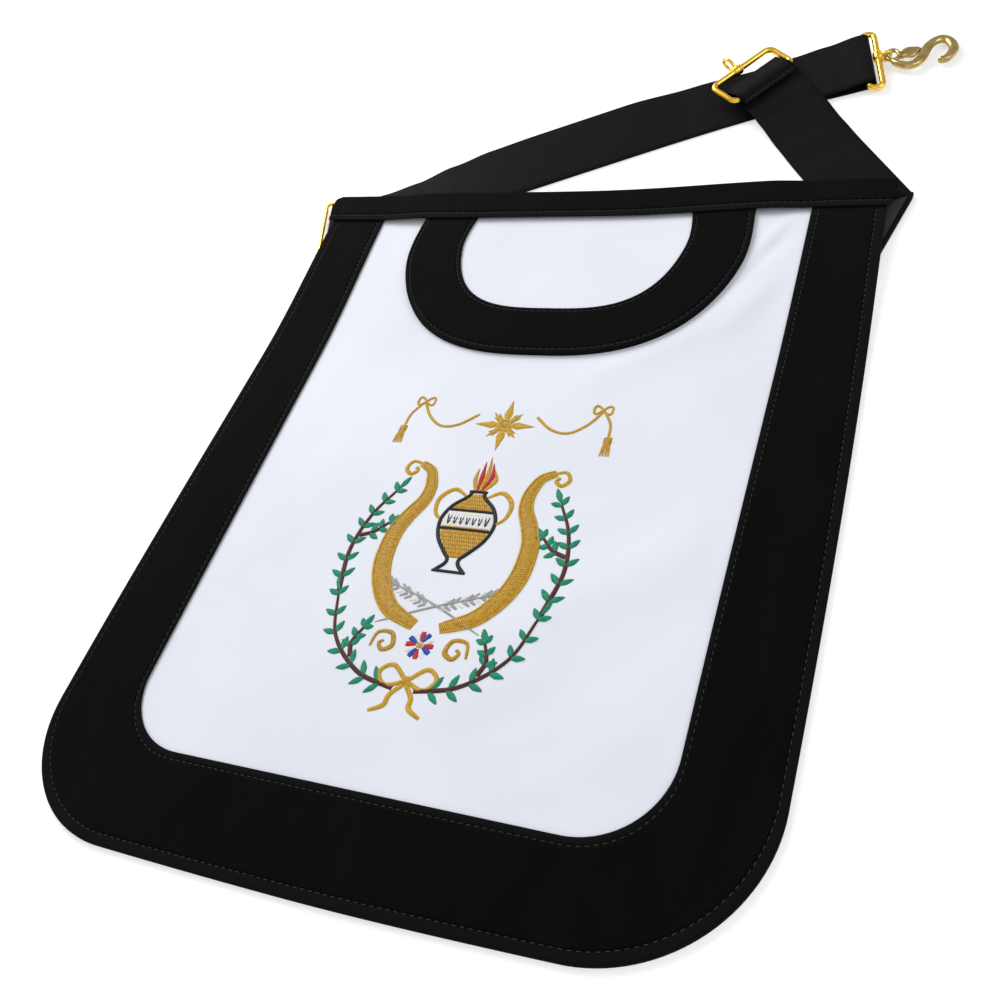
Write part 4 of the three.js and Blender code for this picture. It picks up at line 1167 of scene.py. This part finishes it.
band_line = []
for u in spread(150, 0.004, 0.996):
    low, high = np.array(band_place(u, 6)), np.array(band_place(u, 7))
    band_line.append(tuple(low + (high - low) * 0.1))
stitch_places = seam(band_line)
for outer, inner, hems, base in ((outer_edge, inner_edge, border_hems, border_base),
                                 (flap_rim, flap_inner_rim, flap_hems, flap_border_base)):
    stitch_places += seam(rim_line(outer, inner, hems[0], base))
    stitch_places += seam(rim_line(outer, inner, hems[1], base, True))
thread = Finish("grey_thread")
worn_thread = thread.noise(thread.object_place(), 900.0)
thread.feed("Base Color", thread.mix(worn_thread, (0.009, 0.009, 0.009, 1), (0.029, 0.029, 0.028, 1)))
thread.fixed(Roughness=0.55)
stitches = beads("border_stitches", stitch_places)
finish_piece(stitches, thread.material, "velvet", "apron")
print("stitches:", len(stitch_places))

# %% [markdown]
# ### The sleeve's seam
# The short zigzag lies on the end of the right half, where the sleeve is sewn to the run below it.

# %% Zigzag on the sleeve
zigs, zig_lift, zig_width, zig_height = 22, 0.05, 0.17, 0.16
(end_low, half_low), end_high = right_stations[-1], right_stations[-2][0]
corners = []
for i in range(zigs + 1):
    corner = end_low.lerp(end_high, 0.15 + 0.8 * (i % 2)) + half_low * (0.94 - 1.88 * i / zigs)
    corners.append(corner + UP * (strap_half + zig_lift))
zig_places = [((a + b) / 2, (b - a) * 0.52, UP.cross(b - a).normalized() * zig_width, UP * zig_height)
              for a, b in zip(corners, corners[1:])]
zigzag = beads("sleeve_stitches", zig_places)
finish_piece(zigzag, thread.material, "webbing", "apron")
print("zigzag:", len(zig_places), "stitches")

# %% [markdown]
# ## Embroidery
# The needlework is built from satin strokes: low, rounded ribs of thread that stand on the cloth. Leaves
# are one stitched leaf repeated. The design is a plain garland, star and vessel of this object's own.

# %% Threads
def threads(name, low, high, pitch=0.42):
    f = Finish(name)
    along, across = f.parts(f.map_place())[:2]
    lay = waves(f, f.math("MULTIPLY_ADD", across, 0.35, along), pitch)
    worn = f.noise(f.object_place(), 700.0, 3.0)
    tone = f.math("MULTIPLY_ADD", lay, 0.45, f.math("MULTIPLY", worn, 0.8))
    f.feed("Base Color", f.mix(f.ramp(tone, 0.2, 0.95), low, high))
    f.fixed(Specular_IOR_Level=0.25, Sheen_Weight=0.02)
    f.feed("Roughness", f.ramp(lay, 0.0, 1.0, 0.55, 0.35))
    f.bump(lay, 0.7, 0.00018)
    return f.material


leaf_thread = threads("leaf_thread", (0.002, 0.11, 0.055, 1), (0.006, 0.34, 0.19, 1))
thread_of = {
    "gold": threads("gold_thread", (0.30, 0.16, 0.008, 1), (0.74, 0.45, 0.035, 1)),
    "fill": threads("fill_thread", (0.18, 0.085, 0.003, 1), (0.60, 0.33, 0.018, 1), 0.9),
    "stem": threads("stem_thread", (0.030, 0.007, 0.006, 1), (0.11, 0.030, 0.024, 1)),
    "black": threads("black_thread", (0.004, 0.004, 0.004, 1), (0.022, 0.022, 0.022, 1)),
    "grey": threads("grey_satin", (0.20, 0.20, 0.21, 1), (0.48, 0.48, 0.49, 1)),
    "red": threads("red_thread", (0.30, 0.008, 0.012, 1), (0.62, 0.03, 0.04, 1)),
    "blue": threads("blue_thread", (0.006, 0.03, 0.22, 1), (0.02, 0.10, 0.50, 1)),
    "pale": threads("pale_thread", (0.62, 0.62, 0.62, 1), (0.88, 0.88, 0.88, 1))}
print("threads:", [*thread_of, "leaf"])

# %% [markdown]
# ### Satin strokes
# Each stroke is one rib of thread along a smooth curve through a few points. Mirrored strokes are given
# once, as distances from the middle of the design, and `aside` puts them on either side.

# %% Strokes
def ground(x, y):
    return float(lift(x, y)) + panel_top + creased(x, y)


sewn = {}


def satin(colour, points, widths, height=0.42, steps=None):
    """A rib of thread through the points, of one width or tapering through a list of widths."""
    table = np.array([(x, y) for x, y in points], dtype=float)
    steps = steps or max(6, 5 * (len(points) - 1))
    rows = smooth_rows(table, steps) if len(points) > 2 else np.array(
        [table[0] + (table[1] - table[0]) * s for s in spread(steps)])
    widths = [widths] * 2 if np.isscalar(widths) else widths
    wide = np.interp(spread(len(rows) - 1), spread(len(widths) - 1), widths)
    stations = []
    for i, (x, y) in enumerate(rows):
        before, after = rows[max(i - 1, 0)], rows[min(i + 1, len(rows) - 1)]
        tangent = Vector((*(after - before), 0)).normalized()
        side = UP.cross(tangent)
        share = i / (len(rows) - 1)
        close = min(1.0, 4.5 * min(share, 1 - share) * len(rows) / 12 + 0.25)
        centre = Vector((x, y, ground(x, y)))
        stations.append((centre, side * max(wide[i], 0.12) / 2, UP * height * close))
    closed = [(centre, side * 0.0, up * 0.0) for centre, side, up in (stations[0], stations[-1])]
    sewn.setdefault(colour, []).append(tube("rib", [closed[0], *stations, closed[1]], 10))


def turned(r, angle, x, y):
    """The point at a distance and an angle from another point."""
    a = math.radians(angle)
    return x + r * math.cos(a), y + r * math.sin(a)


def aside(s, *points):
    """Points given from the middle line, on the right for s = 1 and mirrored for s = -1."""
    return [(cx + s * x, y) for x, y in points]


cx, sides = 3.0, (-1, 1)
print("the design's middle line is at x =", cx, "mm")

# %% [markdown]
# ### Star and cords
# A star of eight rays, long and short in turn, with a small wheel in the middle. On each side of it a
# loose cord hangs in a swag from a knot and ends in a tassel.

# %% Star and cords
star_y, star_ring = 34.0, 3.0
for i in range(8):
    ray, ray_width = (10.5, 3.4) if i % 2 else (15.5, 4.6)
    rays = [turned(r, 45 * i, cx, star_y) for r in (2.6, ray * 0.45, ray)]
    satin("gold", rays, [1.6, ray_width, 0.3], 0.45)
for i in range(16):
    satin("fill", [turned(r, 22.5 * i + 11.25, cx, star_y) for r in (4.0, 8.4)], [1.2, 0.4], 0.3, 6)
satin("gold", [turned(star_ring, a, cx, star_y) for a in range(0, 361, 30)], 1.9, 0.5, 40)
satin("fill", aside(1, (-2.0, star_y), (2.0, star_y)), 3.4, 0.4, 6)
for s in sides:
    satin("gold", aside(s, (15, 40), (24, 33), (33, 31.5), (41, 37), (47, 46)), 1.5, 0.5, 46)
    knot = [(cx + s * 46.5 + 4.6 * math.cos(t), 46.5 + 2.5 * math.sin(2 * t))
            for t in spread(16, 0, 2 * math.pi)]
    satin("gold", knot, 1.2, 0.55, 60)
    satin("gold", aside(s, (48, 45), (52, 38), (53, 30)), 1.4, 0.45, 16)
    satin("fill", aside(s, (53, 30.5), (53.2, 26.5)), 4.2, 0.55, 6)
    for k in (-1.7, -0.6, 0.6, 1.7):
        satin("gold", [(cx + s * 53.2 + k * 0.8, 26.6), (cx + s * 53.4 + k * 1.2, 19.5)], 1.0, 0.4, 8)
print("ribs so far:", {colour: len(ribs) for colour, ribs in sewn.items()})

# %% [markdown]
# ### The vessel
# Rows of fill follow the vessel's outline, with a pale belt across it. Black threads draw its outline,
# its bands and a row of small hooks on the belt. It has two handles and a flame.

# %% Vessel
vessel = [(-3.2, -6), (-4.2, -9), (-10.5, -15), (-13.5, -23), (-11.5, -32), (-6, -39.5), (-3, -43)]
vessel_down, vessel_half = [-y for x, y in vessel], [-x for x, y in vessel]
for i in range(17):
    y = -8.5 - i * 2.05
    reach = float(np.interp(-y, vessel_down, vessel_half)) - 0.9
    satin("pale" if 4 < i < 9 else "fill", aside(1, (-reach, y), (reach, y)), 2.5, 0.3, 10)
for s in (1, -1):
    satin("black", aside(s, *vessel, (-3.4, -46), (-7, -49.5)), 1.9, 0.62, 46)
for y, reach in ((-6.0, 4.6), (-16.8, 11.6), (-27.2, 13.0), (-49.8, 8.2)):
    satin("black", aside(1, (-reach, y), (reach, y)), 1.5, 0.66, 18)
for k in range(-3, 4):
    satin("black", aside(1, (k * 3.1 - 0.9, -19.6), (k * 3.1, -24.6), (k * 3.1 + 0.9, -19.6)), 0.7, 0.5, 12)
for s in sides:
    handle = aside(s, (5, -9), (12, -5.5), (18, -11), (17.5, -19), (12.5, -24))
    satin("gold", handle, [1.3, 2.3, 2.6, 1.9, 1.2], 0.5, 34)
for k, (dx, top) in enumerate(((-5, 7.5), (-2.2, 11.5), (0.3, 14.5), (2.8, 11.0), (5.2, 7.0))):
    flame = aside(1, (dx * 0.45, -5), (dx + 0.9, (top - 5) / 2), (dx * 0.8, top))
    satin("red" if k % 2 else "gold", flame, [1.6, 2.5, 0.4], 0.45, 16)
print("ribs so far:", {colour: len(ribs) for colour, ribs in sewn.items()})

# %% [markdown]
# ### Arms and quills
# Two broad arms of filled gold stand round the vessel like the frame of a lyre, each with a raised rim
# on both sides and a curl at its top. Two grey quills cross below.

# %% Arms and quills
arm_widths, arm_steps = [4.5, 7.6, 8.2, 7.4, 5.8, 4.2, 2.6], 70
curl_table = ((5.0, 2.4), (4.6, 1.2), (4.0, 0.0), (3.3, -1.3), (2.4, -2.7), (1.4, -4.2))


def spiral(s, table, x, y):
    """Points of a spiral of (radius, angle) rows about a point, mirrored with its side."""
    return aside(s, *[(x + r * math.cos(a), y + r * math.sin(a)) for r, a in table])


for s in sides:
    arm = aside(s, (6, -78), (22, -70), (32.5, -52), (33, -30), (25, -11), (27.5, 3), (34.5, 8))
    satin("fill", arm, arm_widths, 0.55, arm_steps)
    rows = smooth_rows(np.array(arm, dtype=float), arm_steps)
    for edge in (-1, 1):
        rim = []
        for i in range(0, arm_steps + 1, 5):
            d = rows[min(i + 1, arm_steps)] - rows[max(i - 1, 0)]
            d = d / np.hypot(*d)
            half = float(np.interp(i / arm_steps, spread(6), arm_widths)) / 2
            rim.append((rows[i][0] - d[1] * half * edge, rows[i][1] + d[0] * half * edge))
        satin("gold", rim, 1.1, 0.72, arm_steps)
    satin("gold", spiral(s, curl_table, 37.5, 4.5), [1.4, 2.2, 1.8], 0.55, 34)
for s in sides:
    tip, end = (cx - s * 25, -79), (cx + s * 27, -58)
    satin("grey", [tip, (cx, -67.5 - s * 0.4), end], [0.7, 1.2, 0.8], 0.5, 24)
    for k in range(9):
        along = 0.52 + 0.05 * k
        px, py = tip[0] + (end[0] - tip[0]) * along, tip[1] + (end[1] - tip[1]) * along
        for t in (-1, 1):
            barb = [(px, py), (px + s * 3.4, py + 1.2 + t * 3.1)]
            satin("grey" if k % 3 else "pale", barb, [1.9, 1.1], 0.34, 6)
print("ribs so far:", {colour: len(ribs) for colour, ribs in sewn.items()})

# %% [markdown]
# ### Garland
# Stems rise on both sides with pairs of leaves along them. A leaf is one pointed bead, and all the
# leaves are one joined mesh.

# %% Garland
leaf_places, stem_steps, leaf_turn = [], 60, 52


def leaf(x, y, angle, length, width=3.1):
    along = heading_way(angle) * length / 2
    centre = Vector((x, y, ground(x, y) + 0.05)) + along
    leaf_places.append((centre, along, UP.cross(along).normalized() * width / 2, UP * 0.5))


def sprig(points, count, start=0.12, length=8.4):
    rows = smooth_rows(np.array(points, dtype=float), stem_steps)
    satin("stem", points, [2.5, 2.0, 1.2], 0.55, 40)
    for i in range(count):
        k = int(stem_steps * (start + (0.97 - start) * i / (count - 1)))
        d = rows[min(k + 1, stem_steps)] - rows[max(k - 1, 0)]
        heading = math.degrees(math.atan2(d[1], d[0]))
        for t in (-1, 1):
            leaf(rows[k][0] + 0.5 * t, rows[k][1], heading + t * leaf_turn, length * (1 - 0.25 * i / count))
    d = rows[-1] - rows[-3]
    leaf(*rows[-1], math.degrees(math.atan2(d[1], d[0])), length * 1.1)


for s in sides:
    sprig(aside(s, (5, -108), (24, -103), (41, -88), (49, -66)), 7)
    sprig(aside(s, (49, -66), (52.5, -44), (49, -24), (41, -8)), 7, 0.1, 8.0)
    sprig(aside(s, (30, -97), (32, -90), (29, -82)), 3, 0.35, 6.4)
    sprig(aside(s, (51, -36), (44, -33), (38, -27)), 3, 0.35, 6.4)
leaves = beads("embroidered_leaves", leaf_places, leaf_sides, leaf_rings)
finish_piece(leaves, leaf_thread, "white_cloth", "apron")
print("leaves:", len(leaf_places))

# %% [markdown]
# ### Ribbon and rosette
# A bow with two tails ties the garland at its foot, with a scroll on each side and a small rosette of
# red, pale and blue petals above it.

# %% Ribbon and rosette
bow_y, scroll_y, rosette_y = -104, -88, -87
scroll_table = ((6.5, -0.4), (6.2, 0.8), (5.4, 2.0), (4.4, 3.3), (3.4, 4.6), (2.2, 6.0), (1.2, 7.6))
for s in sides:
    satin("gold", aside(s, (0, bow_y), (8, -97.5), (13.5, -101.5), (9, -107), (0, bow_y)), 2.1, 0.55, 40)
    tails = aside(s, (0, -105), (5, -111), (6, -116), (12, -119.5))
    satin("gold", tails, [2.0, 2.4, 2.6, 1.6], 0.5, 26)
    satin("fill", spiral(s, scroll_table, 17, scroll_y), [1.2, 2.6, 1.4], 0.5, 40)
satin("fill", aside(1, (-2.1, bow_y), (2.1, bow_y)), 4.6, 0.65, 6)
for i, colour in enumerate(("red", "pale", "blue") * 4):
    satin(colour, [turned(r, 30 * i, cx, rosette_y) for r in (1.8, 4.4, 6.6)], [1.0, 2.8, 2.2], 0.42, 8)
satin("gold", aside(1, (-1.3, rosette_y), (1.3, rosette_y)), 2.6, 0.6, 6)
print("ribs so far:", {colour: len(ribs) for colour, ribs in sewn.items()})

# %% [markdown]
# ### One piece per colour
# All ribs of one thread are joined into one mesh with that thread's finish.

# %% Ribs of one colour joined
for colour, ribs in sewn.items():
    whole = join(ribs, "embroidery_" + colour)
    finish_piece(whole, thread_of[colour], "white_cloth", "apron")

# %% [markdown]
# ## What the cloth pieces are cut from
# The areas of the panel's and the flap's outlines and of their velvet borders, which are not full
# rectangles, are worked out but left unused. The straps' cut lengths are printed.

# %% Sheets
def ring_area(outer, inner):
    """Area in square metres between two rims."""
    points = [outer(s) for s in spread(300)] + [inner(s) for s in spread(300)][::-1]
    twice = sum(x1 * y2 - x2 * y1 for (x1, y1), (x2, y2) in zip(points, points[1:] + points[:1]))
    return abs(twice) / 2 * MM * MM


def middle_top(share):
    return 0.0, top_y


ring_area(outer_edge, middle_top)
ring_area(outer_edge, inner_edge)
ring_area(flap_rim, middle_top)
ring_area(flap_rim, flap_inner_rim)
print("straps are cut to", round(left_cut, 1), "and", round(right_cut, 1), "mm")

# %% [markdown]
# ## Table, light and camera
# A light table, whose own glow keeps the shadows faint, under one large soft light from the upper left
# and a weaker one from the right, as in a catalogue picture. The camera looks down at about fifty
# degrees, turned to the object's right.

# %% Stage
nothing_selected()
bpy.ops.mesh.primitive_plane_add(size=6)
table = bpy.context.object
table.name = "table"
table.location.z = -0.0003
table_look = bpy.data.materials.new("pale_table")
table_look.use_nodes = True
table_surface = table_look.node_tree.nodes["Principled BSDF"].inputs
table_surface["Base Color"].default_value = (0.55, 0.55, 0.553, 1)
table_surface["Roughness"].default_value = 0.9
table_surface["Emission Color"].default_value = (1, 1, 1, 1)
table_surface["Emission Strength"].default_value = 0.5
table.data.materials.append(table_look)
table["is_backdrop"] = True
print("stage:", table.name)

# %% [markdown]
# ### Lights
# Three soft lights look at the object, and a pale grey sky fills the shadows. The plain view transform
# keeps the black and the white as they are.

# %% Lights
def soft_light(name, place, size, power):
    """A square area light that looks at the middle of the object."""
    bpy.ops.object.light_add(type="AREA", location=place)
    light = bpy.context.object
    light.name = name
    light.data.shape = "SQUARE"
    light.data.size = size
    light.data.energy = power
    light.rotation_euler = (-Vector(place)).to_track_quat("-Z", "Y").to_euler()
    light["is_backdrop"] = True


soft_light("window_light", (-1.1, 1.0, 1.0), 1.0, 27)
soft_light("right_fill", (1.3, 0.1, 1.1), 1.2, 7)
soft_light("front_fill", (0.2, -1.4, 1.3), 1.6, 6)
world = bpy.data.worlds.new("studio")
world.use_nodes = True
world.node_tree.nodes["Background"].inputs["Color"].default_value = (1.0, 1.0, 1.0, 1)
world.node_tree.nodes["Background"].inputs["Strength"].default_value = 0.50
bpy.context.scene.world = world
bpy.context.scene.view_settings.view_transform = "Standard"

# %% [markdown]
# ### Camera
# Its place, its three axes and its lens were fitted to the picture, with the webbing 38 mm wide.

# %% Camera
right_way, up_way, back_way = (0.9134, 0.2982, -0.2771), (-0.0817, 0.8012, 0.5929), (0.3988, -0.5189, 0.7561)
bpy.ops.object.camera_add()
camera = bpy.context.object
camera.name = "photo_camera"
turn = Matrix((right_way, up_way, back_way)).transposed().to_4x4()
camera.matrix_world = Matrix.Translation((0.2157, -0.2705, 0.3817)) @ turn
camera.data.lens, camera.data.sensor_width = 39.94, 36.0
camera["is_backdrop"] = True
bpy.context.scene.camera = camera
print("camera:", camera.name, "at", [round(v, 3) for v in camera.matrix_world.translation])

# %% [markdown]
# ## The size
# The box of the finished object is printed in millimetres, as the box of the solids was at the start.

# %% Size of the solids, and the end
low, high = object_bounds()
({"cad_low": list(cad_low), "cad_high": list(cad_high),
           "low": list(low), "high": list(high)})
print("finished object, mm:", [round(v / MM, 1) for v in (*low, *high)])
